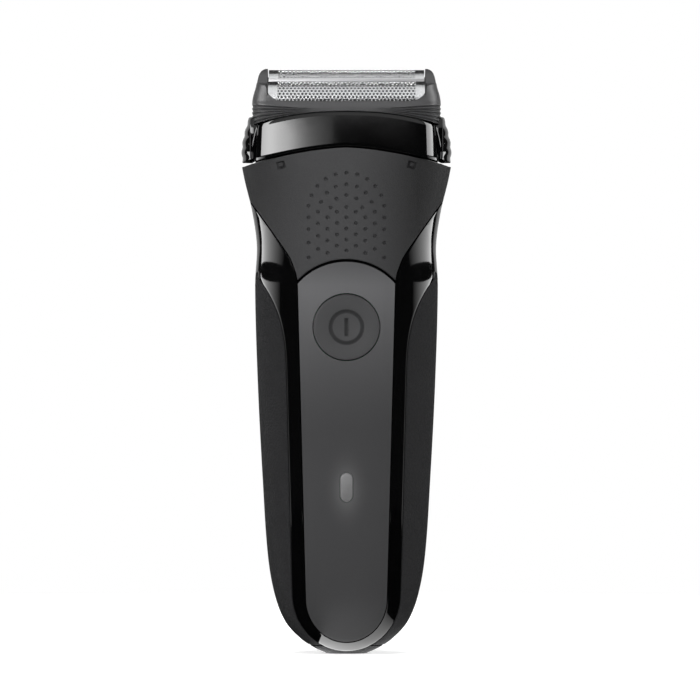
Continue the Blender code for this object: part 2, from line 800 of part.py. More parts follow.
def make_chassis():
    """The tray that the cells, the motor and the board are held by."""
    front = chassis_front()
    back = front + CHASSIS_THICK
    half = CHASSIS_HALF_WIDTH
    top = NECK_Z - 7.0
    tray = box("inner_chassis", (-half, front, BOARD_BASE_Z), (half, back, top), "matte_black")
    wall = 2 * CELL_RADIUS + 2 * GAP
    end = CELL_BASE_Z - 2 * GAP - TAB_THICK
    shelves = (
        ("lower", end - 1.4, end),
        ("upper", CELL_BASE_Z + CELL_LENGTH + 2 * GAP + TAB_THICK, None),
    )
    for name, low, high in shelves:
        high = high or low + 1.4
        join(tray, box(f"shelf_{name}", (-half, front + 0.1, low), (half, CELL_Y + 4.0, high)))
    for side in (-1, 1):
        x = side * wall
        low = (min(x, x + side * 1.1), front, CELL_BASE_Z + 6.0)
        high = (max(x, x + side * 1.1), CELL_Y, CELL_BASE_Z + CELL_LENGTH - 4.0)
        join(tray, box(f"cradle_{side}", low, high))
        foot = (min(side * (half - 1), x + side * 1.1), front, low[2])
        foot_end = (max(side * (half - 1), x + side * 1.1), back, high[2])
        join(tray, box(f"cradle_web_{side}", foot, foot_end))


def make_board():
    half = BOARD_WIDTH / 2
    top = BUTTON_Z + 12.0
    box("circuit_board", (-half, board_front(), BOARD_BASE_Z), (half, board_back(), top), "board_green")
    side = SWITCH_SIDE / 2
    back = board_front() - GAP
    switch = box(
        "tact_switch",
        (-side, back - SWITCH_HEIGHT + 1.0 + GAP, BUTTON_Z - side),
        (side, back, BUTTON_Z + side),
        "matte_black",
    )
    tip = back - SWITCH_HEIGHT + GAP + BUTTON_TRAVEL
    join(switch, rod("switch_plunger", 1.6, (0, tip, BUTTON_Z), (0, back - 0.5, BUTTON_Z), sides=12))


def make_motor():
    top = NECK_Z - MOTOR_BELOW_NECK
    base = top - MOTOR_LENGTH
    can = rod("motor_can", MOTOR_RADIUS, (0, MOTOR_Y, base), (0, MOTOR_Y, top), "steel", 32)
    flats = box("motor_flats", (-FAR, MOTOR_Y - MOTOR_FLAT, 0), (FAR, MOTOR_Y + MOTOR_FLAT, FAR * 4))
    keep(can, flats)
    bore = SHAFT_RADIUS + GAP
    cut(can, rod("motor_bore", bore, (0, MOTOR_Y, top - 6.0), (0, MOTOR_Y, top + 5.0), sides=16))
    low = top + GAP
    high = low + MOUNT_THICK
    plate = box("motor_mount", (-12.5, MOTOR_Y - 7.0, low), (12.5, MOTOR_Y + 7.0, high), "steel")
    cut(plate, rod("mount_bore", 2.6, (0, MOTOR_Y, low - 5), (0, MOTOR_Y, high + 5), sides=20))
    for side, name in ((-1, "motor_screw_left"), (1, "motor_screw_right")):
        x = side * 6.5
        hole = rod(name + "_hole", 0.9 + GAP, (x, MOTOR_Y, top - 3.0), (x, MOTOR_Y, high + 3.0), sides=12)
        cut(can, hole)
        cut(plate, hole)
        screw = rod(name, 0.9, (x, MOTOR_Y, top - 2.4), (x, MOTOR_Y, high + 1.0), "steel", 12)
        join(screw, rod(name + "_head", 1.7, (x, MOTOR_Y, high + GAP), (x, MOTOR_Y, high + 1.5), sides=12))


def make_shaft():
    """The motor's shaft, with the eccentric and the crank pin that drives the bridge."""
    top = NECK_Z - MOTOR_BELOW_NECK
    origin = (0.0, MOTOR_Y, top)
    low = top + MOUNT_THICK + GAP + 3.0
    high = low + ECCENTRIC_HEIGHT
    shaft = rod(
        "motor_shaft", SHAFT_RADIUS, (0, MOTOR_Y, top - 5.4), (0, MOTOR_Y, low + 1.0), "steel", 16, origin
    )
    join(shaft, rod("eccentric_disc", ECCENTRIC_RADIUS, (0, MOTOR_Y, low), (0, MOTOR_Y, high), sides=24))
    end = NECK_Z + BRIDGE_BASE + BRIDGE_THICK - 1.0
    pin = rod("crank_pin", 1.0, (STROKE, MOTOR_Y, high - 1.0), (STROKE, MOTOR_Y, end), sides=12)
    join(shaft, pin)


def make_housing_screws():
    names = ("screw_low_left", "screw_low_right", "screw_top_left", "screw_top_right")
    for name, (x, z) in zip(names, boss_places()):
        seat = SCREW_SEAT + GAP
        tip = SEAM_Y - 4.6
        screw = rod(name, SCREW_RADIUS, (x, tip, z), (x, seat + 0.5, z), "steel", 12)
        head = rod(name + "_head", SCREW_HEAD_RADIUS, (x, seat, z), (x, seat + 1.6, z), sides=16)
        slot = box(name + "_slot", (x - 1.3, seat + 0.9, z - 0.3), (x + 1.3, seat + 4.0, z + 0.3))
        cross = box(name + "_cross", (x - 0.3, seat + 0.9, z - 1.3), (x + 0.3, seat + 4.0, z + 1.3))
        cut(join(screw, head), slot, cross)


# The head


def collar_rings():
    rings = []
    for i in range(5):
        share = i / 4
        z = NECK_Z - 5.0 + 20.0 * share
        taper = COLLAR_TAPER * share
        rings.append(
            ring_points(
                COLLAR_HALF_WIDTH, COLLAR_FRONT - taper, COLLAR_BACK - taper, z, COLLAR_SQUARENESS
            )
        )
    return rings


def below_edge(name, rise):
    """Takes away everything below the collar's lower edge."""
    line = [(x, z + rise) for x, z in edge_line(collar_edge, FAR / 2, 12)]
    return prism_y(name, line + [(-FAR, -9.0), (FAR, -9.0)], -FAR, FAR)


def mirror_box(name, side, low, high):
    """A box given for the right-hand side, made on either side."""
    if side < 0:
        low, high = (-high[0], low[1], low[2]), (-low[0], high[1], high[2])
    return box(name, low, high)


def release_space(name, side, grow, high_z):
    """The window that a release button slides in."""
    inner = RELEASE_INNER_X - (RELEASE_TRAVEL + GAP if grow else 0.0)
    reach = RELEASE_HALF_DEPTH + grow
    base = NECK_Z - GAP
    low = (inner, RELEASE_CENTRE_Y - reach, base - grow - 3.0)
    high = (FAR, RELEASE_CENTRE_Y + reach, high_z)
    return mirror_box(name, side, low, high)


def make_collar():
    """The gloss ring that the foil frame stands on, with the deck that closes the body."""
    deck_top = NECK_Z + 1.0
    collar = loft("head_collar", collar_rings(), "gloss_black")
    cut(collar, below_edge("collar_below", 0.0))
    deck = body_form("collar_deck", WALL + GAP, None, INNER_SIDES, INNER_STATIONS)
    cut(deck, box("deck_below", (-FAR, -FAR, -9.0), (FAR, FAR, deck_top - DECK_THICK)))
    cut(deck, box("deck_above", (-FAR, -FAR, deck_top), (FAR, FAR, FAR * 4)))
    join(collar, deck)
    line = [(x, z - GAP) for x, z in edge_line(frame_edge, FAR / 2, 14)]
    cut(collar, prism_y("collar_above", line + [(-FAR, FAR * 4), (FAR, FAR * 4)], -FAR, FAR))
    cut(collar, prism_z("head_cavity", cavity_outline(0.0), deck_top, FAR * 4))
    for side in (-1, 1):
        cut(collar, release_space(f"release_pocket_{side}", side, GAP, FAR * 4))
    cut(collar, rod("crank_hole", 4.0, (0, MOTOR_Y, NECK_Z - 9), (0, MOTOR_Y, NECK_Z + 9), sides=20))


def make_release_buttons():
    top = NECK_Z - GAP + RELEASE_HEIGHT
    for side, name in ((-1, "release_left"), (1, "release_right")):
        origin = (side * RELEASE_INNER_X, RELEASE_CENTRE_Y, NECK_Z + RELEASE_HEIGHT / 2)
        button = body_form(name, 0.0, "gloss_black")
        button.data.transform(Matrix.Translation(-Vector(origin) * MM))
        button.location = Vector(origin) * MM
        keep(button, release_space(name + "_space", side, 0.0, top))
        cut(button, below_edge(name + "_below", GAP / 2))
        floor = body_form(name + "_groove_floor", RELEASE_GROOVE)
        for k in range(RELEASE_RIBS + 1):
            z = NECK_Z + 1.3 + RELEASE_RIB_PITCH * k
            low = (RELEASE_INNER_X - 1.0, RELEASE_CENTRE_Y - RELEASE_HALF_DEPTH - 1.0, z - 0.8)
            high = (FAR, RELEASE_CENTRE_Y + RELEASE_HALF_DEPTH + 1.0, z + 0.8)
            groove = mirror_box(f"{name}_groove_{k}", side, low, high)
            cut(button, cut(groove, floor))


def frame_rings(inset):
    rings = []
    levels = (-5.0, -3.0, 0.0, 3.0, 5.5, 8.0, 10.0, 12.8)
    for step in levels:
        share = max(0.0, (step - 3.0) / 9.8)
        half = FRAME_HALF_WIDTH - (FRAME_HALF_WIDTH - FRAME_TOP_HALF_WIDTH) * share**1.2
        if step < 0:
            half += step * 0.06
        front = -CAVITY_FRONT_Y + 2.0 - 1.2 * max(step, 0.0) / 12.8
        back = CAVITY_BACK_Y + 1.9 - 1.2 * max(step, 0.0) / 12.8
        z = NECK_Z + FRAME_BASE + step
        rings.append(ring_points(half - inset, front - inset, back - inset, z, FRAME_SQUARENESS))
    return rings


def horn_line():
    """The end walls' top edge, seen from the side: a hump over each foil."""
    front = NECK_Z + FRONT_CROWN - 0.4
    rear = NECK_Z + FRONT_CROWN + FOIL_LEAN + 0.3
    stations = (
        (-16.0, front - 2.6),
        (FRONT_FOIL_Y - 4.2, front - 1.0),
        (FRONT_FOIL_Y, front),
        (FRONT_FOIL_Y + 4.2, front - 1.3),
        (FOIL_MID_Y, front - 1.2),
        (REAR_FOIL_Y - 4.2, rear - 1.5),
        (REAR_FOIL_Y, rear),
        (REAR_FOIL_Y + 4.2, rear - 1.6),
        (14.0, rear - 4.2),
    )
    line = []
    for i in range(25):
        y = -16.0 + 30.0 * i / 24
        line.append((y, curve_value(stations, y)))
    return line


def window(name, low_z, low_y, high_y):
    """A foil's window in the frame's long wall, with round lower corners."""
    half = FOIL_HALF_LENGTH + 0.6
    corner = 4.6
    right = [(0.0, NECK_Z + 60.0), (half, NECK_Z + 60.0)]
    for i in range(7):
        angle = math.pi / 2 * i / 6
        x = half - corner + corner * math.cos(angle)
        right.append((x, low_z + corner - corner * math.sin(angle)))
    right.append((0.0, low_z))
    return prism_y(name, mirrored(right), low_y, high_y)


def make_frame():
    frame = loft("cassette_frame", frame_rings(0.0), "frame_grey")
    spigot_low = NECK_Z + FRAME_BASE - SPIGOT_DROP
    spigot = prism_z("frame_spigot", cavity_outline(GAP), spigot_low, NECK_Z + FRAME_BASE + 0.5)
    below = edge_line(frame_edge, FAR / 2, 14) + [(-FAR, -9.0), (FAR, -9.0)]
    cut(frame, prism_y("frame_below", below, -FAR, FAR))
    for side in (-1, 1):
        high_z = NECK_Z + RELEASE_HEIGHT
        cut(frame, release_space(f"frame_release_space_{side}", side, GAP, high_z))
    join(frame, spigot)
    above = horn_line() + [(FAR, NECK_Z + 12.0), (FAR, FAR * 4), (-FAR, FAR * 4), (-FAR, NECK_Z + 12.0)]
    cut(frame, prism_x("frame_above", above, -FAR, FAR))
    reach = FOIL_RADIUS + GAP
    space_low = (-FOIL_HALF_LENGTH - GAP, FRONT_FOIL_Y - reach, NECK_Z + FRAME_BASE)
    space_high = (FOIL_HALF_LENGTH + GAP, REAR_FOIL_Y + reach, FAR * 4)
    cut(frame, box("foil_space", space_low, space_high))
    cut(frame, prism_z("spigot_space", cavity_outline(GAP + SPIGOT_WALL), 0.0, FAR * 4))
    cut(frame, window("front_window", NECK_Z + FRAME_BASE + 2.4, -FAR, FRONT_FOIL_Y))
    cut(frame, window("rear_window", NECK_Z + FRAME_BASE + 2.4 + FOIL_LEAN, REAR_FOIL_Y, FAR))


def arch(radius, leg, centre_y, centre_z, steps=14):
    """Half a circle over two straight legs, in Y and Z, from the front foot round to the rear."""
    points = [(centre_y - radius, centre_z - leg)]
    for i in range(steps + 1):
        angle = math.pi - math.pi * i / steps
        points.append((centre_y + radius * math.cos(angle), centre_z + radius * math.sin(angle)))
    points.append((centre_y + radius, centre_z - leg))
    return points


def make_foil(name, y, z):
    outer = arch(FOIL_RADIUS, FOIL_LEG, y, z)
    inner = arch(FOIL_RADIUS - FOIL_THICK, FOIL_LEG, y, z)
    outline = outer + inner[::-1]
    origin = (0.0, y, z)
    prism_x(name, outline, -FOIL_HALF_LENGTH, FOIL_HALF_LENGTH, "foil_steel", origin)


def make_cutter(name, y, z):
    """A block of blades on a carrier, under a foil."""
    radius = FOIL_RADIUS - FOIL_THICK - CUTTER_CLEARANCE
    outline = arch(radius, FOIL_LEG - 0.3, y, z, 8)
    half = CUTTER_HALF_LENGTH
    cutter = prism_x(name, outline, -half, half, "steel", (0.0, y, z))
    pitch = 2 * half / (CUTTER_SLOTS + 1)
    for k in range(CUTTER_SLOTS):
        x = -half + pitch * (k + 1)
        slot = box(f"{name}_slot_{k}", (x - 0.6, y - 9, z + 0.6), (x + 0.6, y + 9, z + 9))
        cut(cutter, slot)
    bore = rod(name + "_bore", POST_RADIUS + GAP, (0, y, z - 9), (0, y, z + 2.4), sides=12)
    cut(cutter, bore)


def make_trimmer():
    top = NECK_Z + TRIMMER_TOP
    low = top - TRIMMER_HEIGHT
    half_y = TRIMMER_WIDTH / 2
    y = FOIL_MID_Y
    origin = (0.0, y, top)
    guard = box(
        "trimmer_guard",
        (-FOIL_HALF_LENGTH, y - half_y, low),
        (FOIL_HALF_LENGTH, y + half_y, top),
        "steel",
        origin=origin,
    )
    channel = TRIMMER_BLADE / 2 + GAP
    cut(guard, box("trimmer_channel", (-FAR, y - channel, low - 5), (FAR, y + channel, top - 0.8)))
    pitch = 2 * CUTTER_HALF_LENGTH / (TRIMMER_SLOTS + 1)
    for k in range(TRIMMER_SLOTS):
        x = -CUTTER_HALF_LENGTH + pitch * (k + 1)
        cut(guard, box(f"trimmer_slot_{k}", (x - 0.55, y - 9, top - 2.6), (x + 0.55, y + 9, top + 9)))
    blade = box(
        "trimmer_blade",
        (-CUTTER_HALF_LENGTH, y - TRIMMER_BLADE / 2, low + 1.5),
        (CUTTER_HALF_LENGTH, y + TRIMMER_BLADE / 2, top - 0.8 - GAP),
        "steel",
        origin=origin,
    )
    foot = box("blade_foot", (-4.0, y - TRIMMER_BLADE / 2, low), (4.0, y + TRIMMER_BLADE / 2, low + 2.0))
    join(blade, foot)
    for k in range(TRIMMER_SLOTS - 1):
        x = -CUTTER_HALF_LENGTH + pitch * (k + 1.5)
        cut(blade, box(f"blade_slot_{k}", (x - 0.5, y - 9, top - 3.0), (x + 0.5, y + 9, top + 9)))


def make_bridge():
    """The sliding bridge: the crank pin moves it from side to side, and its posts carry the cutters."""
    base = NECK_Z + BRIDGE_BASE
    top = base + BRIDGE_THICK
    y0 = FRONT_FOIL_Y - 2.6
    y1 = REAR_FOIL_Y + 3.4
    bridge = box("drive_bridge", (-BRIDGE_HALF_X, y0, base), (BRIDGE_HALF_X, y1, top), "matte_black")
    reach = 1.0 + 2 * STROKE + GAP
    window_low = (-reach, MOTOR_Y - STROKE - 1.0 - GAP, base - 5)
    window_high = (reach, MOTOR_Y + STROKE + 1.0 + GAP, top - 0.6)
    cut(bridge, box("crank_window", window_low, window_high))
    for name, y, z in (("front", FRONT_FOIL_Y, FRONT_AXIS_Z), ("rear", REAR_FOIL_Y, REAR_AXIS_Z)):
        join(bridge, rod(f"post_{name}", POST_RADIUS, (0, y, top - 0.5), (0, y, z + 0.6), sides=12))
    low = NECK_Z + TRIMMER_TOP - TRIMMER_HEIGHT - GAP - FLOAT
    y = FOIL_MID_Y
    join(bridge, box("post_trimmer", (-1.6, y - 0.8, top - 0.5), (1.6, y + 0.8, low)))
    for k, y in enumerate((FOIL_MID_Y - 3.6, REAR_FOIL_Y + 1.6)):
        z = base + BRIDGE_THICK / 2
        cut(bridge, rod(f"rod_bore_{k}", ROD_RADIUS + GAP, (-FAR, y, z), (FAR, y, z), sides=12))
        name = ("guide_rod_front", "guide_rod_rear")[k]
        rod(name, ROD_RADIUS, (-19.0, y, z), (19.0, y, z), "steel", 12)


def make_seal():
    base = NECK_Z + SEAL_BASE
    outline = cavity_outline(GAP)
    seal = prism_z("neck_seal", outline, base, base + SEAL_THICK, material="rubber_black")
    clear = STROKE + SPRING_RADIUS + SPRING_WIRE + GAP
    for name, y in (("front", FRONT_FOIL_Y), ("rear", REAR_FOIL_Y)):
        spread = oval(clear, SPRING_RADIUS + SPRING_WIRE + GAP)
        cut(seal, prism_z(f"seal_hole_{name}", spread, base - 5, base + 5, (0.0, y)))
    y = FOIL_MID_Y
    reach = 1.6 + STROKE + GAP
    cut(seal, box("seal_slot", (-reach, y - 1.2, base - 5), (reach, y + 1.2, base + 5)))


def make_spring(name, y, low, high):
    """A round-wire coil with its ends closed, made as one swept tube."""
    curve = bpy.data.curves.new(name, "CURVE")
    curve.dimensions = "3D"
    curve.bevel_depth = SPRING_WIRE * MM
    curve.bevel_resolution = 0
    curve.use_fill_caps = True
    line = curve.splines.new("POLY")
    steps = SPRING_TURNS * 10
    line.points.add(steps)
    rise = high - low - 2 * SPRING_WIRE
    for i in range(steps + 1):
        angle = 2 * math.pi * SPRING_TURNS * i / steps
        point = Vector((SPRING_RADIUS * math.cos(angle), SPRING_RADIUS * math.sin(angle), rise * i / steps))
        line.points[i].co = (*(point * MM), 1.0)
    made = bpy.data.objects.new(name, curve)
    made.location = Vector((0.0, y, low + SPRING_WIRE)) * MM
    curve.materials.append(material_of("steel"))
    bpy.context.scene.collection.objects.link(made)


def make_springs():
    base = NECK_Z + BRIDGE_BASE + BRIDGE_THICK + GAP
    for name, y, axis in (("front", FRONT_FOIL_Y, FRONT_AXIS_Z), ("rear", REAR_FOIL_Y, REAR_AXIS_Z)):
        make_spring(f"cutter_spring_{name}", y, base, axis - FOIL_LEG + 0.3 - GAP)


def main():
    for old in list(bpy.data.objects):
        bpy.data.objects.remove(old, do_unlink=True)
    forms = make_forms()
    make_rear_housing(forms)
    make_front_housing(forms)
    make_grips(forms)
    make_shield(forms)
    make_strip(forms)
    make_light(forms)
    make_power_button()
    make_socket()
    make_cells()
    make_chassis()
    make_board()
    make_motor()
    make_shaft()
    make_housing_screws()
    make_collar()
    make_release_buttons()
    make_frame()
    make_foil("foil_front", FRONT_FOIL_Y, FRONT_AXIS_Z)
    make_foil("foil_rear", REAR_FOIL_Y, REAR_AXIS_Z)
    make_cutter("cutter_front", FRONT_FOIL_Y, FRONT_AXIS_Z)
    make_cutter("cutter_rear", REAR_FOIL_Y, REAR_AXIS_Z)
    make_trimmer()
    make_bridge()
    make_seal()
    make_springs()


main()
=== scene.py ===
"""The looks of a cordless foil shaver: its visible pieces, their finishes and a plain studio.

Sizes are in millimetres here and metres in Blender. +X is the shaver's left-right, +Z runs from the
charging socket to the foils, and the front faces -Y.
"""

import math

import bpy
from bpy.props import FloatProperty, FloatVectorProperty, PointerProperty
from mathutils import Matrix, Vector


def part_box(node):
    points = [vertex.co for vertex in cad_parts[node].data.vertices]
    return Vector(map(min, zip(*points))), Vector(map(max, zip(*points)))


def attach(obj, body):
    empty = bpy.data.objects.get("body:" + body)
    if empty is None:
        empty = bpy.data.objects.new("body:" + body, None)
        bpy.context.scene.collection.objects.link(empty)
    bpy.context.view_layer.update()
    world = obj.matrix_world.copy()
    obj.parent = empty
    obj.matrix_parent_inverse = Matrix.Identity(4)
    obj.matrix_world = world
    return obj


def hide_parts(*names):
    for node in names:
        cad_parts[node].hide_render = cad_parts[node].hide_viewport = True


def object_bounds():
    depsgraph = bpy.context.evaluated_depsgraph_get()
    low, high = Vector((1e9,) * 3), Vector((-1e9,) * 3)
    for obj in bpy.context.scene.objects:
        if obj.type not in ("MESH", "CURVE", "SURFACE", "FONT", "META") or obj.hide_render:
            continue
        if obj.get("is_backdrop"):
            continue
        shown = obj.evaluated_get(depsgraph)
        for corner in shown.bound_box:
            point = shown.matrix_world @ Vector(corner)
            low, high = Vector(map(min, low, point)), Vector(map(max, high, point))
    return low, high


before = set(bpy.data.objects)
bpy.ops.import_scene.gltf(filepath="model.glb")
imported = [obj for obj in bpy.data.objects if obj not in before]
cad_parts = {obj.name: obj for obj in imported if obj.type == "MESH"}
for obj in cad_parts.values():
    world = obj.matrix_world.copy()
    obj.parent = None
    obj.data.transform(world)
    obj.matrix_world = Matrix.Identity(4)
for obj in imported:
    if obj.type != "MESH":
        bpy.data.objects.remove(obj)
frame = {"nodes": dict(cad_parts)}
CAD_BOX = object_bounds()

bl_info = {
    "name": "Foil shaver looks",
    "version": (1, 0, 0),
    "blender": (4, 5, 0),
    "location": "View3D > Sidebar > Shaver",
    "description": "Makes the visible pieces, finishes and studio of a cordless foil shaver",
    "category": "Add Mesh",
}

MM = 0.001


def corners(node):
    """A fixed solid's lowest and highest corners, in millimetres."""
    low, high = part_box(node)
    return low / MM, high / MM


# The outer form
BODY_LENGTH = 134.0
BODY_HALF_WIDTH = 25.0
FRONT_DEPTH = 17.0
BACK_DEPTH = 18.5
SQUARENESS = 2.5
REST_Y = corners("rear_housing")[1].y
FRONT_Y = corners("front_shield")[0].y
SEAM = 0.15
GAP = 0.3
REST_SOFT = 0.12
FRONT_SOFT = 0.06
CAP_WALL = 1.3
FRONT_WALL = 2.0
REAR_WALL = 2.2
FLOOR_WALL = 1.1
FLOOR_INSET = 1.75
FLOOR_LOW = 3.0
SCREW_WELL = 2.3
SCREW_BORE = 1.4
SCREW_TUBE = 3.0
WIDTH_CURVE = (
    (0.0, 0.21),
    (0.01, 0.335),
    (0.03, 0.5),
    (0.065, 0.67),
    (0.12, 0.785),
    (0.2, 0.86),
    (0.35, 0.915),
    (0.55, 0.97),
    (0.75, 1.0),
    (0.83, 0.98),
    (0.9, 1.03),
    (0.97, 1.12),
    (1.02, 1.16),
    (1.06, 1.13),
    (1.12, 1.03),
)
DEPTH_CURVE = (
    (0.0, 0.3),
    (0.01, 0.44),
    (0.03, 0.6),
    (0.065, 0.74),
    (0.12, 0.85),
    (0.2, 0.92),
    (0.35, 0.97),
    (0.75, 1.0),
    (0.83, 1.0),
    (0.92, 1.06),
    (1.0, 1.1),
    (1.12, 1.02),
)

# The front: strip, rim, waist and shield
BUTTON_LOW, BUTTON_HIGH = corners("power_button")
BUTTON_Z = (BUTTON_LOW.z + BUTTON_HIGH.z) / 2
BUTTON_RADIUS = (BUTTON_HIGH.z - BUTTON_LOW.z) / 2
STRIP_LOW = corners("centre_strip")[0].z - SEAM
STRIP_HALF_TOP = 13.0
STRIP_HALF_BOTTOM = 10.8
STRIP_END_HEIGHT = 12.0
STRIP_ARC = 17.8
RIM_LOW = 0.8
RIM_WIDTH = 3.6
RIM_FLARE = 8.4
RIM_FLARE_LENGTH = 28.0
GRIP_TOP = 104.2
GRIP_BACK = 8.0
TIP_Z = 2.2
BUTTON_DISH = 0.95
MARK_OUTER = 4.78
MARK_INNER = 3.8
MARK_BAR_HALF_WIDTH = 0.5
MARK_BAR_HALF_HEIGHT = 2.4
SHIELD_ARC = 18.4
SHIELD_SIDE_Z = 123.4
SHIELD_SLANT = (
    (101.8, 13.3),
    (103.7, 13.7),
    (108.0, 15.4),
    (112.6, 18.5),
    (116.8, 21.5),
    (123.4, 26.3),
)
CREASE_INSET = 0.65
CREASE = ((104.05, 24.2), (108.0, 23.8), (112.5, 22.8), (117.0, 21.75))

# The head
COLLAR_HALF = 25.9
COLLAR_FRONT = 18.0
COLLAR_BACK = 16.6
COLLAR_SQUARENESS = 5.0
COLLAR_LEAN = 2.1
COLLAR_WALL = 1.0
KEY_WALL = 1.8
KEY_BASE_Z = 134.0
KEY_RIBS = 4
KEY_RIB_Z = 135.3
KEY_RIB_PITCH = 3.0
KEY_RIB_DEPTH = 0.26
KEY_RIB_WIDTH = 0.8
FRAME_SHOULDER = 148.0
FRAME_TOP = 160.1
FRAME_SQUARENESS = 5.5
FRAME_RIBS = 5.0
BLADES = 30
BLADE_DEPTH = 1.3
BLADE_WIDTH = 0.28
TEETH = 32
TOOTH_FIELD = 18.6
FRONT_FOIL_LOW, FRONT_FOIL_HIGH = corners("foil_front")
REAR_FOIL_LOW, REAR_FOIL_HIGH = corners("foil_rear")
FOIL_HALF = FRONT_FOIL_HIGH.x
FOIL_RADIUS = (FRONT_FOIL_HIGH.y - FRONT_FOIL_LOW.y) / 2
FOIL_LEG = 2.0
TRIMMER_LOW, TRIMMER_HIGH = corners("trimmer_guard")
LIGHT_LOW, LIGHT_HIGH = corners("light_lens")
LIGHT_Z = (LIGHT_LOW.z + LIGHT_HIGH.z) / 2


# Shape rules


def curve_value(stations, at):
    """A smooth curve through (position, value) stations, read at one position."""
    if at <= stations[0][0]:
        return stations[0][1]
    if at >= stations[-1][0]:
        return stations[-1][1]
    slopes = []
    for i in range(len(stations)):
        low = stations[max(i - 1, 0)]
        high = stations[min(i + 1, len(stations) - 1)]
        slopes.append((high[1] - low[1]) / (high[0] - low[0]))
    for i in range(len(stations) - 1):
        (x0, y0), (x1, y1) = stations[i], stations[i + 1]
        if at <= x1:
            span = x1 - x0
            t = (at - x0) / span
            return (
                (2 * t**3 - 3 * t**2 + 1) * y0
                + (t**3 - 2 * t**2 + t) * span * slopes[i]
                + (3 * t**2 - 2 * t**3) * y1
                + (t**3 - t**2) * span * slopes[i + 1]
            )
    return stations[-1][1]


def blend_between(low, high, share):
    return low + (high - low) * share


def ease(share):
    """Goes smoothly from 0 to 1."""
    share = min(max(share, 0.0), 1.0)
    return share * share * (3 - 2 * share)


def half_width(z):
    return BODY_HALF_WIDTH * curve_value(WIDTH_CURVE, z / BODY_LENGTH)


def front_depth(z):
    return FRONT_DEPTH * curve_value(DEPTH_CURVE, z / BODY_LENGTH)


def back_depth(z):
    return BACK_DEPTH * min(curve_value(DEPTH_CURVE, z / BODY_LENGTH), 1.0)


def on_form(turn, z, inset=0.0):
    """The form's surface at a turn in degrees: 0 is the front, 90 the right side, 180 the back."""
    across = math.sin(math.radians(turn))
    ahead = math.cos(math.radians(turn))
    power = 2 / SQUARENESS
    x = (half_width(z) - inset) * math.copysign(abs(across) ** power, across)
    depth = (front_depth(z) if ahead > 0 else back_depth(z)) - inset
    y = -depth * math.copysign(abs(ahead) ** power, ahead)
    limit = REST_Y - inset
    if y > limit - 12 * REST_SOFT:
        y = limit - REST_SOFT * math.log(1 + math.exp((limit - y) / REST_SOFT))
    front = FRONT_Y + 0.02 + inset
    if y < front + 12 * FRONT_SOFT:
        y = front + FRONT_SOFT * math.log(1 + math.exp((y - front) / FRONT_SOFT))
    return Vector((x, y, z))


def turn_at(x, z):
    """The turn at which the front of the form has this X."""
    share = min(abs(x) / half_width(z), 1.0)
    return math.copysign(math.degrees(math.asin(share ** (SQUARENESS / 2))), x)


def turn_at_depth(y, z):
    """The turn at which the right side of the form has this Y."""
    depth = back_depth(z) if y > 0 else front_depth(z)
    share = min(abs(y) / depth, 1.0)
    return 90 + math.copysign(math.degrees(math.asin(share ** (SQUARENESS / 2))), y)


def front_point(x, z):
    return on_form(turn_at(x, z), z)


def strip_half(z):
    share = (z - STRIP_LOW) / (BUTTON_Z - STRIP_LOW)
    return blend_between(STRIP_HALF_BOTTOM, STRIP_HALF_TOP, share)


def rim_half(z):
    flare = max(0.0, (z - GRIP_TOP + RIM_FLARE_LENGTH) / RIM_FLARE_LENGTH)
    return strip_half(z) + RIM_WIDTH + RIM_FLARE * flare**2.8


def rim_edge(z):
    """The rim's outer line, which runs into the crease of the waist."""
    return min(rim_half(z), half_width(z) - CREASE_INSET)


def collar_edge(x):
    """The collar's lower edge: a shallow rounded chevron."""
    return 138.2 - 4.8 * (abs(x) / 28.2) ** 1.55


def frame_edge(x):
    """The line where the foil frame meets the collar."""
    return 147.7 - 3.4 * (abs(x) / 25.0) ** 2.2


def rib_line(x):
    """The upper limit of the ribs on the foil frame."""
    return 147.9 + 1.8 * (abs(x) / 25.2) ** 1.6


def around(angle, half, front, back, power):
    """A point of a squared oval in plan."""
    c = math.cos(angle)
    s = math.sin(angle)
    x = half * math.copysign(abs(c) ** (2 / power), c)
    y = (back if s > 0 else front) * math.copysign(abs(s) ** (2 / power), s)
    return x, y


def steps(low, high, count):
    return [low + (high - low) * i / count for i in range(count + 1)]


def mirrored(points):
    """A line listed from the middle outwards, with its mirror image before it."""
    return [(-x, z) for x, z in reversed(points) if abs(x) > 1e-6] + points


# Modelling


def clear():
    if bpy.context.mode != "OBJECT":
        bpy.ops.object.mode_set(mode="OBJECT")
    bpy.ops.object.select_all(action="DESELECT")


def only(piece):
    clear()
    piece.select_set(True)
    bpy.context.view_layer.objects.active = piece
    return piece


def edited(piece, *operations):
    """Runs mesh operators on the whole of a piece, each given as a name or as (name, settings)."""
    only(piece)
    bpy.ops.object.mode_set(mode="EDIT")
    bpy.ops.mesh.select_all(action="SELECT")
    for step in operations:
        name, settings = step if isinstance(step, tuple) else (step, {})
        getattr(bpy.ops.mesh, name)(**settings)
    bpy.ops.object.mode_set(mode="OBJECT")
    return piece


ALL = ("select_all", {"action": "SELECT"})
OUTWARD = ("normals_make_consistent", {"inside": False})


def new_piece(name):
    piece = bpy.context.object
    piece.name = name
    piece.data.name = name
    return piece


def settled(piece):
    """Carries the object's place and turn into its mesh."""
    only(piece)
    bpy.ops.object.transform_apply(location=True, rotation=True, scale=True)
    return piece


def sheet(name, columns, rows, place):
    """A grid laid over a surface, whose rule gives each column and row its place in millimetres."""
    clear()
    bpy.ops.mesh.primitive_grid_add(x_subdivisions=columns, y_subdivisions=rows, size=1.0)
    piece = new_piece(name)
    for vertex in piece.data.vertices:
        column = round((vertex.co.x + 0.5) * columns)
        row = round((vertex.co.y + 0.5) * rows)
        vertex.co = Vector(place(column, row)) * MM
    piece.data.update()
    return piece


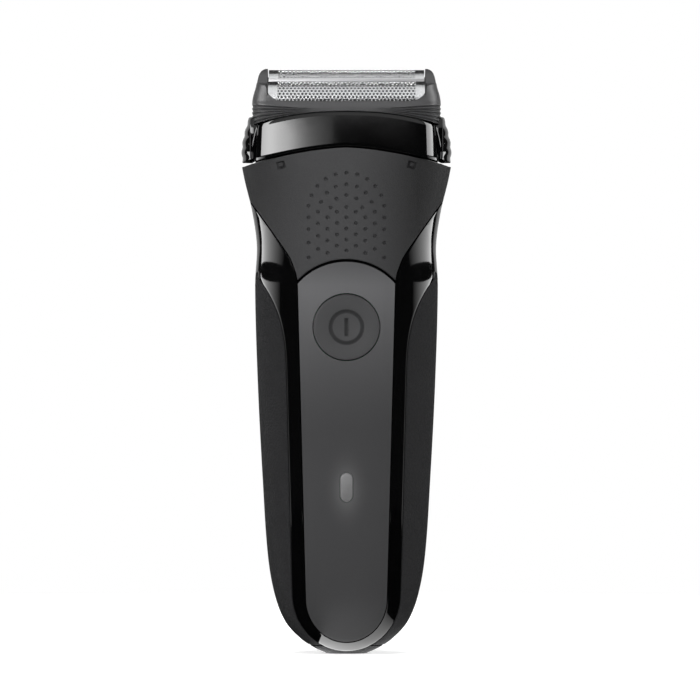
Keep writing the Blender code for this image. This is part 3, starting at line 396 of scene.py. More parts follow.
def patch(name, low, high, rows, rule=on_form, flatness=None):
    """A sheet on the form between two lines of equal count, as pairs that the rule understands."""

    def place(column, row):
        share = row / rows
        (a0, z0), (a1, z1) = low[column], high[column]
        point = rule(blend_between(a0, a1, share), blend_between(z0, z1, share))
        if flatness:
            chord = rule(a0, z0).lerp(rule(a1, z1), share)
            point = point.lerp(chord, flatness(point.z))
        return point

    return sheet(name, len(low) - 1, rows, place)


def joined(name, parts):
    clear()
    for part in parts:
        part.select_set(True)
    bpy.context.view_layer.objects.active = parts[0]
    if len(parts) > 1:
        bpy.ops.object.join()
    return new_piece(name)


def stitched(piece, centre_z=80.0):
    """Merges the edges that meet and turns every face outwards."""
    merge = ("remove_doubles", {"threshold": 0.02 * MM})
    clean = ("dissolve_degenerate", {"threshold": 0.001 * MM})
    edited(piece, merge, clean, ALL, OUTWARD)
    middle = Vector((0, 0, centre_z)) * MM
    total = sum(face.area * face.normal.dot(face.center - middle) for face in piece.data.polygons)
    return edited(piece, "flip_normals") if total < 0 else piece


def apply(piece, kind, **settings):
    only(piece)
    modifier = piece.modifiers.new(kind.title(), kind)
    for name, value in settings.items():
        setattr(modifier, name, value)
    bpy.ops.object.modifier_apply(modifier=modifier.name)
    return piece


def thicken(piece, thickness, even=True):
    return apply(piece, "SOLIDIFY", thickness=thickness * MM, offset=-1.0, use_even_offset=even)


def soften(piece, width, segments=2, angle=40.0, clamp=True):
    return apply(
        piece,
        "BEVEL",
        width=width * MM,
        segments=segments,
        limit_method="ANGLE",
        angle_limit=math.radians(angle),
        use_clamp_overlap=clamp,
    )


def smooth(piece, angle=34.0):
    only(piece)
    bpy.ops.object.shade_smooth_by_angle(angle=math.radians(angle))
    return piece


def combine(piece, other, operation):
    apply(piece, "BOOLEAN", object=other, operation=operation, solver="EXACT")
    bpy.data.objects.remove(other, do_unlink=True)
    return piece


def cut(piece, *others):
    """Takes other closed shapes, clear of one another, out of a piece."""
    return combine(piece, joined("cutters", list(others)), "DIFFERENCE")


def copies(piece, offsets):
    """One object made of a shape and its copies, each moved from the shape's own place."""
    parts = []
    for offset in offsets:
        made = piece.copy()
        made.data = piece.data.copy()
        bpy.context.scene.collection.objects.link(made)
        made.data.transform(Matrix.Translation(Vector(offset) * MM))
        parts.append(made)
    name = piece.name
    bpy.data.objects.remove(piece, do_unlink=True)
    return joined(name, parts)


def block(name, low, high, rounding=0.0, turn_y=0.0, segments=2):
    """A cube between two corners, with rounded edges."""
    clear()
    low, high = Vector(low), Vector(high)
    bpy.ops.mesh.primitive_cube_add(size=1.0, location=(low + high) / 2 * MM)
    piece = new_piece(name)
    piece.scale = (high - low) * MM
    only(piece)
    bpy.ops.object.transform_apply(location=False, rotation=False, scale=True)
    piece.rotation_euler.y = math.radians(turn_y)
    settled(piece)
    if rounding:
        soften(piece, rounding, segments)
    return piece


def pin(name, radius, start, end, sides=32):
    """A round bar from one point to another."""
    start, end = Vector(start), Vector(end)
    along = end - start
    clear()
    bpy.ops.mesh.primitive_cylinder_add(
        vertices=sides, radius=radius * MM, depth=along.length * MM, location=(start + end) / 2 * MM
    )
    piece = new_piece(name)
    piece.rotation_euler = along.to_track_quat("Z", "Y").to_euler()
    return settled(piece)


def turned(name, profile, centre, sides=64):
    """A lathed shape about a line through the centre along Y, from (radius, y) pairs."""

    def place(column, row):
        angle = 2 * math.pi * column / sides
        radius, y = profile[row]
        return centre[0] + radius * math.cos(angle), y, centre[1] + radius * math.sin(angle)

    piece = sheet(name, sides, len(profile) - 1, place)
    return stitched(piece, centre[1])


def prism(name, outline, low, high, axis="Y"):
    """A flat outline carried from one place to another along Y, X or Z."""
    order = {
        "X": lambda a, b, c: (c, a, b),
        "Y": lambda a, b, c: (a, c, b),
        "Z": lambda a, b, c: (a, b, c),
    }
    clear()
    bpy.ops.mesh.primitive_circle_add(vertices=len(outline), radius=1.0, fill_type="NGON")
    piece = new_piece(name)
    for vertex, (a, b) in zip(piece.data.vertices, outline):
        vertex.co = Vector(order[axis](a, b, low)) * MM
    step = Vector(order[axis](0, 0, high - low)) * MM
    extrude = ("extrude_region_move", {"TRANSFORM_OT_translate": {"value": step}})
    return edited(piece, extrude, ALL, OUTWARD)


def capped(piece):
    """Fills every open loop of a tube."""
    nothing = ("select_all", {"action": "DESELECT"})
    edges, points = (("select_mode", {"type": kind}) for kind in ("EDGE", "VERT"))
    fill = ("fill_holes", {"sides": 0})
    return edited(piece, nothing, edges, "select_non_manifold", fill, ALL, OUTWARD, points)


def finished(piece, body, slot, material, *nodes):
    """Gives a piece its finish, its body and the fixed solids that it stands for."""
    piece.data.materials.clear()
    piece.data.materials.append(material)
    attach(piece, body)
    if nodes:
        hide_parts(*nodes)
    return piece


# Finishes


def written(operation, swapped=False):
    """The method behind one arithmetic sign, or behind its reflected form."""

    def method(self, other):
        first, second = (other, self) if swapped else (self, other)
        return self.finish.maths(operation, first, second)

    return method


class Value:
    """A number that varies over a surface, so that shader maths can be written as an expression."""

    def __init__(self, finish, socket):
        self.finish = finish
        self.socket = socket

    __add__, __radd__ = written("ADD"), written("ADD", True)
    __sub__, __rsub__ = written("SUBTRACT"), written("SUBTRACT", True)
    __mul__, __rmul__ = written("MULTIPLY"), written("MULTIPLY", True)
    __truediv__, __rtruediv__ = written("DIVIDE"), written("DIVIDE", True)
    __pow__ = written("POWER")


class Finish:
    """A new material and the one method that adds nodes to it."""

    def __init__(self, name, color, roughness=0.5, metallic=0.0, **fixed):
        self.material = bpy.data.materials.new(name)
        self.material.use_nodes = True
        self.tree = self.material.node_tree
        self.shader = self.tree.nodes["Principled BSDF"]
        self.color = tuple(color)
        self.feed("Base Color", (*self.color, 1.0))
        self.feed("Roughness", roughness)
        self.feed("Metallic", metallic)
        for socket, value in fixed.items():
            self.feed(socket.replace("_", " ").title().replace("Ior", "IOR"), value)

    def join(self, value, socket):
        if isinstance(value, Value):
            self.tree.links.new(value.socket, socket)
        else:
            socket.default_value = value

    def feed(self, socket, value):
        self.join(value, self.shader.inputs[socket])

    def node(self, kind, settings, sockets, output=0):
        made = self.tree.nodes.new("ShaderNode" + kind)
        for name, value in settings.items():
            if name == "stops":
                self.set_stops(made.color_ramp, value)
            else:
                setattr(made, name, value)
        for name, value in sockets.items():
            self.join(value, made.inputs[name])
        return Value(self, made.outputs[output])

    def set_stops(self, ramp, stops):
        while len(ramp.elements) < len(stops):
            ramp.elements.new(1.0)
        for element, (position, color) in zip(ramp.elements, stops):
            element.position = position
            element.color = color

    def maths(self, operation, first, second=0.0):
        return self.node("Math", {"operation": operation}, {0: first, 1: second})

    def clamped(self, value):
        return self.node("Clamp", {}, {"Value": value})

    def position(self, centre=(0.0, 0.0, 0.0), stretch=(1.0, 1.0, 1.0)):
        """The place on the piece in millimetres, from a centre."""
        object_place = self.node("TexCoord", {}, {}, "Object")
        scale = [share / MM for share in stretch]
        moved = [-c * s for c, s in zip(centre, stretch)]
        return self.node(
            "Mapping", {}, {"Vector": object_place, "Location": moved, "Scale": scale}
        )

    def along(self, axis, centre=(0.0, 0.0, 0.0)):
        return self.node("SeparateXYZ", {}, {"Vector": self.position(centre)}, axis)

    def noise(self, size, detail=2.0, stretch=(1.0, 1.0, 1.0)):
        """Soft random grain of a size in millimetres, from 0 to 1."""
        sockets = {"Vector": self.position(stretch=stretch), "Scale": 1.0 / size, "Detail": detail}
        return self.node("TexNoise", {}, sockets, "Fac")

    def cells(self, size, feature="F1", stretch=(1.0, 1.0, 1.0)):
        """Rounded grains of a size in millimetres: 0 at each grain's middle."""
        sockets = {"Vector": self.position(stretch=stretch), "Scale": 1.0 / size}
        return self.node("TexVoronoi", {"feature": feature}, sockets, "Distance")

    def mixed(self, share, low, high):
        """A colour between two, by a share."""
        colours = {6: (*low, 1.0), 7: (*high, 1.0)}
        return self.node("Mix", {"data_type": "RGBA"}, {0: share, **colours}, 2)

    def shaded(self, share, spread):
        """The base colour, darker and lighter by a spread as the share goes from 0 to 1."""
        dark = tuple(c * (1 - spread) for c in self.color)
        light = tuple(min(c * (1 + spread), 1.0) for c in self.color)
        self.feed("Base Color", self.mixed(share, dark, light))

    def raised(self, height, depth, strength=1.0):
        """Relief from a height of 0 to 1, with its full depth in millimetres."""
        sockets = {"Height": height, "Distance": depth * MM, "Strength": strength}
        self.feed("Normal", self.node("Bump", {}, sockets))


BLACK = (0.0, 0.0, 0.0)
WHITE = (1.0, 1.0, 1.0)


def scaled(colour_value, share):
    return tuple(part * share for part in colour_value)


def made_once(rule):
    """Keeps the material that a finish function makes, so that pieces share it."""
    kept = {}

    def finish():
        if rule.__name__ not in kept:
            kept[rule.__name__] = rule(bpy.context.scene.shaver_colours).material
        return kept[rule.__name__]

    return finish


@made_once
def polished_black(colours):
    finish = Finish("polished_black", colours.polished, 0.05)
    wear = finish.noise(9.0, 4.0)
    finish.feed("Roughness", 0.03 + wear * 0.05)
    finish.shaded(finish.noise(14.0), 0.2)
    finish.raised(finish.noise(5.0, 1.0), 0.004)
    return finish


@made_once
def moulded_black(colours):
    finish = Finish("moulded_black", colours.moulded, 0.5, specular_ior_level=0.3)
    grain = finish.noise(0.32, 3.0)
    finish.shaded(finish.noise(7.0, 3.0) * 0.7 + grain * 0.3, 0.25)
    finish.feed("Roughness", 0.42 + grain * 0.2)
    finish.raised(grain, 0.05, 0.5)
    return finish


@made_once
def grip_rubber(colours):
    finish = Finish("grip_rubber", colours.rubber, 0.75, specular_ior_level=0.1)
    pores = finish.cells(0.62)
    grain = finish.noise(0.3, 3.0)
    texture = finish.clamped(pores * 1.2) * 0.6 + grain * 0.4
    finish.shaded(texture * 0.6 + finish.noise(11.0, 3.0) * 0.4, 0.4)
    finish.feed("Roughness", 0.62 + texture * 0.25)
    finish.raised(texture, 0.22, 0.9)
    return finish


@made_once
def shield_grey(colours):
    finish = Finish("shield_grey", colours.shield, 0.55, specular_ior_level=0.06)
    grain = finish.noise(0.28, 3.0)
    # Painted shade: the base colour darkens towards both sides, from a line 2.5 mm left of the middle, and
    # is a fifth darker low on the shield than near its top, standing in for light falling off across the
    # shield; the grain adds real random tone.
    across = finish.along("X", (-2.5, 0.0, 0.0)) / 22.0
    away = finish.clamped(across * across)
    height = finish.clamped((finish.along("Z") - 100.0) / 16.0) * 0.2 + 0.8
    share = finish.clamped((1.0 - away) * height * 0.62 + grain * 0.38)
    dark, light = scaled(colours.shield, 0.22), scaled(colours.shield, 1.3)
    finish.feed("Base Color", finish.mixed(share, dark, light))
    finish.feed("Roughness", 0.48 + grain * 0.15)
    finish.raised(grain, 0.1, 0.7)
    return finish


@made_once
def strip_satin(colours):
    finish = Finish("strip_satin", colours.strip, 0.5, specular_ior_level=0.06)
    grain = finish.noise(0.24, 3.0)
    # Painted light and shade: the strip is darkest at its foot and lightens a little up to 44 mm. From 60 mm
    # it lightens much more towards the button and under the shield's arc, then falls off again near the top,
    # as the light falls on it.
    foot = finish.clamped((finish.along("Z") - 4.0) / 40.0) * 0.13
    painted_light_rise = finish.clamped((finish.along("Z") - 60.0) / 40.0) ** 1.6
    painted_light_rise = painted_light_rise * finish.clamped((112.5 - finish.along("Z")) / 13.0) + foot
    low, high = scaled(colours.strip, 0.62), scaled(colours.strip, 2.3)
    share = finish.clamped(painted_light_rise * 0.9 + grain * 0.1)
    finish.feed("Base Color", finish.mixed(share, low, high))
    finish.feed("Roughness", 0.36 + grain * 0.12)
    finish.raised(grain, 0.03, 0.5)
    # Painted light: the strip itself glows faintly around the charge light, standing in for light from the
    # lens falling on it.
    centre = (0.0, 0.0, LIGHT_Z - 0.5)
    spread, height = finish.along("X", centre), finish.along("Z", centre)
    reach = (spread * spread) / 10.0 + (height * height) / 34.0
    glow = finish.maths("EXPONENT", reach * -1.0) * 0.06
    finish.feed("Emission Color", finish.mixed(glow, BLACK, WHITE))
    finish.feed("Emission Strength", 1.0)
    return finish


@made_once
def button_satin(colours):
    finish = Finish("button_satin", colours.button, 0.5, specular_ior_level=0.08)
    grain = finish.noise(0.24, 3.0)
    across = finish.along("X")
    up = finish.along("Z", (0.0, 0.0, BUTTON_Z))
    reach = finish.maths("SQRT", across * across + up * up)
    ring = finish.clamped(1.0 - finish.maths("ABSOLUTE", reach - 4.29) / 0.6) ** 0.3
    bar = finish.clamped(1.0 - finish.maths("ABSOLUTE", across) / 0.65) ** 0.3
    bar = bar * finish.clamped((2.6 - finish.maths("ABSOLUTE", up)) * 4.0)
    mark = finish.clamped(ring + bar)
    # Painted shade: the engraved ring and bar are coloured darker than the face, for the shade in their
    # grooves.
    painted_mark_shade = scaled(colours.button, 0.45)
    finish.feed("Base Color", finish.mixed(mark, colours.button, painted_mark_shade))
    finish.feed("Roughness", 0.38 + grain * 0.12)
    finish.raised(grain, 0.03, 0.5)
    return finish


@made_once
def frame_grey(colours):
    finish = Finish("frame_grey", colours.frame, 0.4, specular_ior_level=0.4)
    grain = finish.noise(0.22, 3.0)
    finish.shaded(grain * 0.5 + finish.noise(9.0, 2.0) * 0.5, 0.18)
    finish.feed("Roughness", 0.34 + grain * 0.16)
    finish.raised(grain, 0.03, 0.5)
    return finish


@made_once
def foil_steel(colours):
    finish = Finish("foil_steel", colours.steel, 0.22, 1.0)
    scuff = finish.noise(0.7, 3.0, (0.2, 1.0, 1.0))
    finish.shaded(finish.noise(1.6, 2.0), 0.12)
    finish.feed("Roughness", 0.14 + scuff * 0.2)
    finish.raised(scuff, 0.01, 0.5)
    return finish


def grained(name, color, roughness, grain, spread, rough, relief):
    """A metal whose one grain varies its shade, its roughness and its relief."""
    finish = Finish(name, color, roughness, 1.0)
    texture = finish.noise(*grain)
    finish.shaded(texture, spread)
    finish.feed("Roughness", rough[0] + texture * rough[1])
    finish.raised(texture, *relief)
    return finish


@made_once
def ground_steel(colours):
    grain = (0.12, 2.0, (0.08, 1.0, 1.0))
    return grained("ground_steel", colours.blade, 0.3, grain, 0.2, (0.24, 0.22), (0.01, 0.6))


@made_once
def shaded_steel(colours):
    # Painted shade: a much darker copy of the blade steel, for the blades that sit in shade under the foils.
    grain = (0.15, 2.0, (1.0, 0.2, 1.0))
    color = scaled(colours.blade, 0.22)
    return grained("shaded_steel", color, 0.5, grain, 0.3, (0.4, 0.25), (0.01, 0.6))


@made_once
def plated_nickel(colours):
    color = (0.72, 0.66, 0.55)
    return grained("plated_nickel", color, 0.25, (0.8, 3.0), 0.15, (0.16, 0.2), (0.01, 0.4))


@made_once
def light_milk(colours):
    finish = Finish("light_milk", colours.light, 0.35)
    height = finish.along("Z", (0, 0, LIGHT_Z))
    rise = finish.clamped(0.5 + height / 8.0)
    cloud = finish.noise(1.4, 2.0)
    share = finish.clamped(rise * 0.7 + cloud * 0.3)
    glow = finish.mixed(share, (0.12, 0.122, 0.125), (0.45, 0.45, 0.46))
    finish.feed("Emission Color", glow)
    finish.feed("Emission Strength", 0.26)
    finish.feed("Roughness", 0.3 + cloud * 0.12)
    return finish


@made_once
def cell_wrap(colours):
    finish = Finish("cell_wrap", (0.03, 0.16, 0.10), 0.3)
    band = finish.clamped((finish.along("Z", (0, 0, 62.0)) * 2.0))
    print_grain = finish.noise(0.5, 2.0)
    finish.feed("Base Color", finish.mixed(band, finish.color, (0.6, 0.6, 0.58)))
    finish.feed("Roughness", 0.25 + print_grain * 0.15)
    finish.raised(finish.noise(3.0), 0.02, 0.4)
    return finish


@made_once
def board_green(colours):
    finish = Finish("board_green", (0.01, 0.12, 0.045), 0.4)
    tracks = finish.node(
        "TexBrick",
        {"offset": 0.5},
        {"Vector": finish.position(), "Scale": 0.5, "Mortar Size": 0.08},
        "Fac",
    )
    finish.feed("Base Color", finish.mixed(tracks, finish.color, (0.03, 0.2, 0.08)))
    finish.feed("Roughness", 0.3 + finish.noise(0.6) * 0.2)
    finish.raised(tracks, 0.03, 0.5)
    return finish


# The body's shells


def halves(count_low, count_mid, count_high):
    """The right half of the rim's two edges, from the bottom middle up to the top of the crease."""
    inner_top = STRIP_LOW + STRIP_END_HEIGHT
    outer_top = RIM_LOW + STRIP_END_HEIGHT + RIM_WIDTH
    inner, outer = [], []
    tip = math.asin((outer_top - TIP_Z) / (outer_top - RIM_LOW - SEAM))
    angles = steps(math.pi / 2, tip, count_low) + steps(tip, 0.0, count_low)[1:]
    for angle in angles:
        x = (strip_half(inner_top) + SEAM) * math.cos(angle)
        z = STRIP_LOW - SEAM + (STRIP_END_HEIGHT + SEAM) * (1 - math.sin(angle))
        inner.append((x, z))
        x = (rim_half(outer_top) - SEAM) * math.cos(angle)
        z = RIM_LOW + SEAM + (outer_top - RIM_LOW - SEAM) * (1 - math.sin(angle))
        outer.append((x, z))
    slant_low = SHIELD_SLANT[0][0]
    for share in steps(0.0, 1.0, count_mid)[1:]:
        z = blend_between(inner_top, slant_low, share)
        inner.append((strip_half(z) + SEAM, z))
        z = blend_between(outer_top, GRIP_TOP - SEAM, share)
        outer.append((rim_edge(z) - SEAM, z))
    for share in steps(0.0, 1.0, count_high)[1:]:
        z = blend_between(slant_low, CREASE[-1][0], share)
        inner.append((curve_value(SHIELD_SLANT, z) + 2 * SEAM, z))
        z = blend_between(CREASE[0][0], CREASE[-1][0], share)
        outer.append((curve_value(CREASE, z), z))
    outer[-1] = inner[-1]
    return inner, outer


def rim_sheets():
    """The gloss rim, its waist facets and the narrow sides outside their creases."""
    low_count = 8
    inner, outer = halves(low_count, 60, 26)

    def flatness(z):
        return 0.12 * ease((z - 98.0) / 10.0)

    band = patch("rim_band", mirrored(inner), mirrored(outer), 12, front_point, flatness)
    parts = [band]
    tip_x, tip_z = outer[low_count]
    for side in (-1, 1):
        edge = []
        seam = []
        for z in steps(CREASE[0][0], CREASE[-1][0], 26) + steps(CREASE[-1][0], SHIELD_SIDE_Z - GAP, 12)[1:]:
            x = curve_value(CREASE, z) if z <= CREASE[-1][0] else curve_value(SHIELD_SLANT, z) + 2 * SEAM
            edge.append((side * turn_at(x, z), z))
            seam.append((side * turn_at_depth(-SEAM, z), z))
        edge[26] = (side * turn_at(inner[-1][0], inner[-1][1]), inner[-1][1])
        parts.append(patch(f"waist_side_{side}", edge, seam, 8))
    line = [(turn_at(x, z), z) for x, z in outer[: low_count + 1]]
    side_turn = turn_at_depth(-SEAM, tip_z)
    line += [(turn, tip_z) for turn in steps(turn_at(tip_x, tip_z), side_turn, 6)[1:]]
    line = mirrored(line)
    base_turn = turn_at_depth(-SEAM, 0.3)
    base = [(turn, 0.3) for turn in steps(-base_turn, base_turn, len(line) - 1)]
    return parts, patch("base_cap", base, line, 6)


def inner_half(name, front, inset, low, columns=56, rows=40):
    """A plain half shell inside the skin, that the outer pieces sit on."""
    start, end = (-88.0, 88.0) if front else (92.0, 268.0)

    def place(column, row):
        turn = blend_between(start, end, column / columns)
        rough = on_form(turn, 130.0, inset)
        top = collar_edge(rough.x) - 2 * GAP
        z = blend_between(low, top, (row / rows) ** 1.3)
        return on_form(turn, z, inset)

    return thicken(stitched(sheet(name, columns, rows, place)), FLOOR_WALL)


def make_front_housing(sizes):
    parts, base = rim_sheets()
    cap = smooth(thicken(stitched(base, 8.0), CAP_WALL, even=False))
    finished(cap, "body", "grip_rubber", grip_rubber(), "front_housing")
    skin = thicken(stitched(joined("housing_front_skin", parts)), FRONT_WALL, even=False)
    soften(skin, sizes.rounding / MM * 0.6)
    floor = inner_half("housing_front_floor", True, FLOOR_INSET, FLOOR_LOW)
    button_way = pin("button_way", BUTTON_RADIUS + GAP, (0, -40, BUTTON_Z), (0, 0, BUTTON_Z), 64)
    light_way = block("light_way", (-2.2, -40, LIGHT_Z - 4.6), (2.2, 0, LIGHT_Z + 4.6))
    cut(floor, button_way, light_way)
    piece = smooth(joined("housing_front_shell", [skin, floor]), 30.0)
    return finished(piece, "body", "gloss_black", polished_black(), "front_housing")


def back_edge(z):
    return turn_at_depth(min(GRIP_BACK + SEAM, 0.8 * back_depth(z)), z)


def rear_top(turn):
    rough = on_form(turn, BODY_LENGTH)
    return collar_edge(rough.x) - GAP


def rear_sheets():
    heights = steps(0.35, TIP_Z, 3) + steps(TIP_Z, 20.0, 14)[1:] + steps(20.0, GRIP_TOP + SEAM, 30)[1:]
    upper = 26
    columns = 44

    def middle(column, row):
        share = column / columns
        if row < len(heights):
            z = heights[row]
            edge = back_edge(z)
        else:
            lift = (row - len(heights) + 1) / upper
            z = heights[-1]
            edge = blend_between(back_edge(z), back_edge(BODY_LENGTH), lift)
            turn = blend_between(edge, 360 - edge, share)
            z = blend_between(z, rear_top(turn), lift)
        turn = blend_between(edge, 360 - edge, share)
        return on_form(turn, z)

    parts = [sheet("rear_middle", columns, len(heights) - 1 + upper, middle)]
    for side in (-1, 1):

        def low_wing(column, row):
            z = heights[row]
            return on_form(side * blend_between(turn_at_depth(SEAM, z), back_edge(z), column / 6), z)

        def high_wing(column, row):
            lift = row / upper
            edge = blend_between(back_edge(heights[-1]), back_edge(BODY_LENGTH), lift)
            turn = blend_between(turn_at_depth(SEAM, heights[-1]), edge, column / 10)
            z = blend_between(heights[-1], rear_top(turn), lift)
            return on_form(side * turn, z)

        parts.append(sheet(f"rear_low_{side}", 6, 3, low_wing))
        parts.append(sheet(f"rear_high_{side}", 10, upper, high_wing))
    return parts


SCREW_NODES = ("screw_low_left", "screw_low_right", "screw_top_left", "screw_top_right")


def screw_places():
    """The X and Z of each housing screw."""
    for node in SCREW_NODES:
        low, high = corners(node)
        yield node, (low.x + high.x) / 2, (low.z + high.z) / 2


def make_rear_housing(sizes):
    skin = thicken(stitched(joined("housing_rear_skin", rear_sheets())), REAR_WALL)
    soften(skin, sizes.rounding / MM * 0.6)
    floor = inner_half("housing_rear_floor", False, FLOOR_INSET, FLOOR_LOW)
    tubes = []
    for node, x, z in screw_places():
        for wall, suffix in ((skin, "_way"), (floor, "_well")):
            cut(wall, pin(node + suffix, SCREW_WELL, (x, 3, z), (x, 30, z), 32))
        wall_y = front_point(0, z).y * -0.62 if z < 40 else 11.5
        tube = pin(node + "_tube", SCREW_TUBE, (x, SEAM, z), (x, wall_y, z), 32)
        cut(tube, pin(node + "_sink", SCREW_WELL, (x, 2.8, z), (x, 40, z), 32))
        cut(tube, pin(node + "_bore", SCREW_BORE, (x, -5, z), (x, 10, z), 24))
        tubes.append(tube)
    piece = smooth(joined("housing_rear_shell", [skin, floor] + tubes), 34.0)
    return finished(piece, "body", "matte_black", moulded_black(), "rear_housing")


def rim_outside(z):
    """How far out the rim reaches at a height: the grips start beyond it."""
    top = RIM_LOW + STRIP_END_HEIGHT + RIM_WIDTH
    if z >= top:
        return rim_half(z)
    drop = min((top - z) / (top - RIM_LOW), 1.0)
    return rim_half(top) * math.sqrt(1 - drop * drop)


def make_grips(sizes):
    heights = [TIP_Z + GAP + (GRIP_TOP - SEAM - TIP_Z - GAP) * (i / 90) ** 1.5 for i in range(91)]
    for side, name in ((-1, "grip_pad_left"), (1, "grip_pad_right")):
        front = []
        back = []
        for z in heights:
            x = min(rim_outside(z), half_width(z) - CREASE_INSET) + SEAM
            front.append((side * turn_at(x, z), z))
            back.append((side * turn_at_depth(min(GRIP_BACK - SEAM, 0.78 * back_depth(z)), z), z))
        piece = thicken(stitched(patch(name, front, back, 26)), sizes.wall / MM)
        soften(piece, sizes.rounding / MM * 1.4, 3)
        smooth(piece)
        node = name.replace("_pad", "")
        finished(piece, "body", "grip_rubber", grip_rubber(), node)


# The front


def dimple_places():
    """Arcs above the middle of the shield, and staggered columns below them."""
    places = []
    centre = BODY_LENGTH - 13.65
    for radius, step, most in ((10.4, 16.3, 5), (7.3, 23.2, 3), (4.4, 38.0, 2)):
        for k in range(-most, most + 1):
            angle = math.radians(step * k)
            places.append((radius * math.sin(angle), centre + radius * math.cos(angle)))
    for column, spread in enumerate((-0.02, 0.0, 0.05, 0.1, 0.19)):
        rise = 1.5 if column % 2 else 0.0
        for row in range(4):
            z = centre - 1.6 + rise - 3.05 * row - spread * row**2
            for side in (-1, 1) if column else (1,):
                places.append((side * 2.56 * column, z))
    places.append((0.0, centre + 1.2))
    return places


def shield_lines():
    low, high = [], []
    tip_z, tip_x = SHIELD_SLANT[0]
    for share in steps(0.0, 1.0, 22):
        x = tip_x * share
        low.append((turn_at(x, 105.0), BUTTON_Z + math.sqrt(SHIELD_ARC**2 - x * x)))
        high.append(14.5 * share)
    low = [(turn_at(tip_x * i / 22, z), z) for i, (turn, z) in enumerate(low)]
    for share in steps(0.0, 1.0, 26)[1:]:
        z = blend_between(tip_z, SHIELD_SIDE_Z, share)
        low.append((turn_at(curve_value(SHIELD_SLANT, z), z), z))
        high.append(blend_between(14.5, 26.6, share))
    last = low[-1][0]
    side_turn = turn_at_depth(-SEAM, SHIELD_SIDE_Z)
    for share in steps(0.0, 1.0, 8)[1:]:
        low.append((blend_between(last, side_turn, share), SHIELD_SIDE_Z))
        high.append(None)
    top = []
    for x in high:
        if x is not None:
            z = collar_edge(x) - 2 * GAP
            top.append((turn_at(x, z), z))
    start = top[-1][0]
    end_z = collar_edge(28.6) - 2 * GAP
    for share in steps(0.0, 1.0, 8)[1:]:
        turn = blend_between(start, turn_at_depth(-SEAM, end_z), share)
        x = on_form(turn, end_z).x
        top.append((turn, collar_edge(x) - 2 * GAP))
    return low, top


def make_shield(sizes):
    low, high = shield_lines()
    shield = patch("front_shield_cover", mirrored(low), mirrored(high), 30)
    thicken(stitched(shield, 100.0), sizes.wall / MM)
    soften(shield, sizes.rounding / MM, 3)
    radius = sizes.dimple / MM
    dimples = []
    for x, z in dimple_places():
        clear()
        place = front_point(x, z) + Vector((0, -0.05 * radius, 0))
        bpy.ops.mesh.primitive_uv_sphere_add(
            segments=20, ring_count=12, radius=radius * MM, location=place * MM
        )
        ball = new_piece("dimple")
        ball.rotation_euler.x = math.radians(90)
        dimples.append(settled(ball))
    cut(shield, joined("dimples", dimples))
    tabs = []
    for side in (-1, 1):
        x = side * 17.7
        y = front_point(x, 133.0).y
        cut(shield, block("notch", (x - 1.15, y - 2, 131.9), (x + 1.15, y + 0.85, 134.0), 0.2, side * 14.0))
        tab = block("tab", (x - 0.6, y - 0.05, 132.5), (x + 0.6, y + 1.2, 133.6), 0.25, side * 14.0)
        tabs.append(tab)
    piece = smooth(joined("front_shield_cover", [shield] + tabs), 30.0)
    finished(piece, "body", "shield_grey", shield_grey(), "front_shield")


def strip_point(dome):
    """The strip's surface, with a low dome about the power button."""

    def rule(x, z):
        point = front_point(x, z)
        reach = (x * x + (z - BUTTON_Z) ** 2) / (2 * 9.0**2)
        side = ease((strip_half(z) + 0.6 - abs(x)) / 4.0)
        point.y -= dome * math.exp(-reach) * side
        return point

    return rule


def light_outline(grow, count=14):
    """A pill outline about the charge light, in X and Z."""
    half = (LIGHT_HIGH.x - LIGHT_LOW.x) / 2 + grow
    straight = (LIGHT_HIGH.z - LIGHT_LOW.z) / 2 + grow - half
    points = []
    for side, start in ((1, 0.0), (-1, math.pi)):
        for angle in steps(start, start + math.pi, count):
            points.append((half * math.cos(angle), LIGHT_Z + side * straight + half * math.sin(angle)))
    return points


def make_strip(sizes):
    low, high = [], []
    end_top = STRIP_LOW + STRIP_END_HEIGHT
    half_low = strip_half(end_top) - SEAM
    for t in steps(-1.0, 1.0, 48):
        s = math.sin(math.pi / 2 * t)
        low.append((s * half_low, STRIP_LOW + SEAM + (STRIP_END_HEIGHT - SEAM) * (1 - math.sqrt(1 - s * s))))
        x = s * (STRIP_HALF_TOP + SEAM)
        high.append((x, BUTTON_Z + math.sqrt((STRIP_ARC - SEAM) ** 2 - x * x)))
    strip = patch("centre_strip_panel", low, high, 110, strip_point(sizes.dome / MM))
    thicken(stitched(strip, 60.0), sizes.wall / MM)
    soften(strip, sizes.rounding / MM * 0.7, 2)
    cut(strip, pin("button_hole", BUTTON_RADIUS + SEAM, (0, -40, BUTTON_Z), (0, 0, BUTTON_Z), 96))
    cut(strip, prism("light_hole", light_outline(0.12), -40, 0))
    smooth(strip, 30.0)
    finished(strip, "body", "strip_grey", strip_satin(), "centre_strip")


def make_light(sizes):
    lens = prism("charge_light_lens", light_outline(0.0), -front_depth(LIGHT_Z) - 0.02, -13.5)
    soften(lens, 0.35, 3)
    smooth(lens)
    finished(lens, "body", "light_lens", light_milk(), "light_lens")


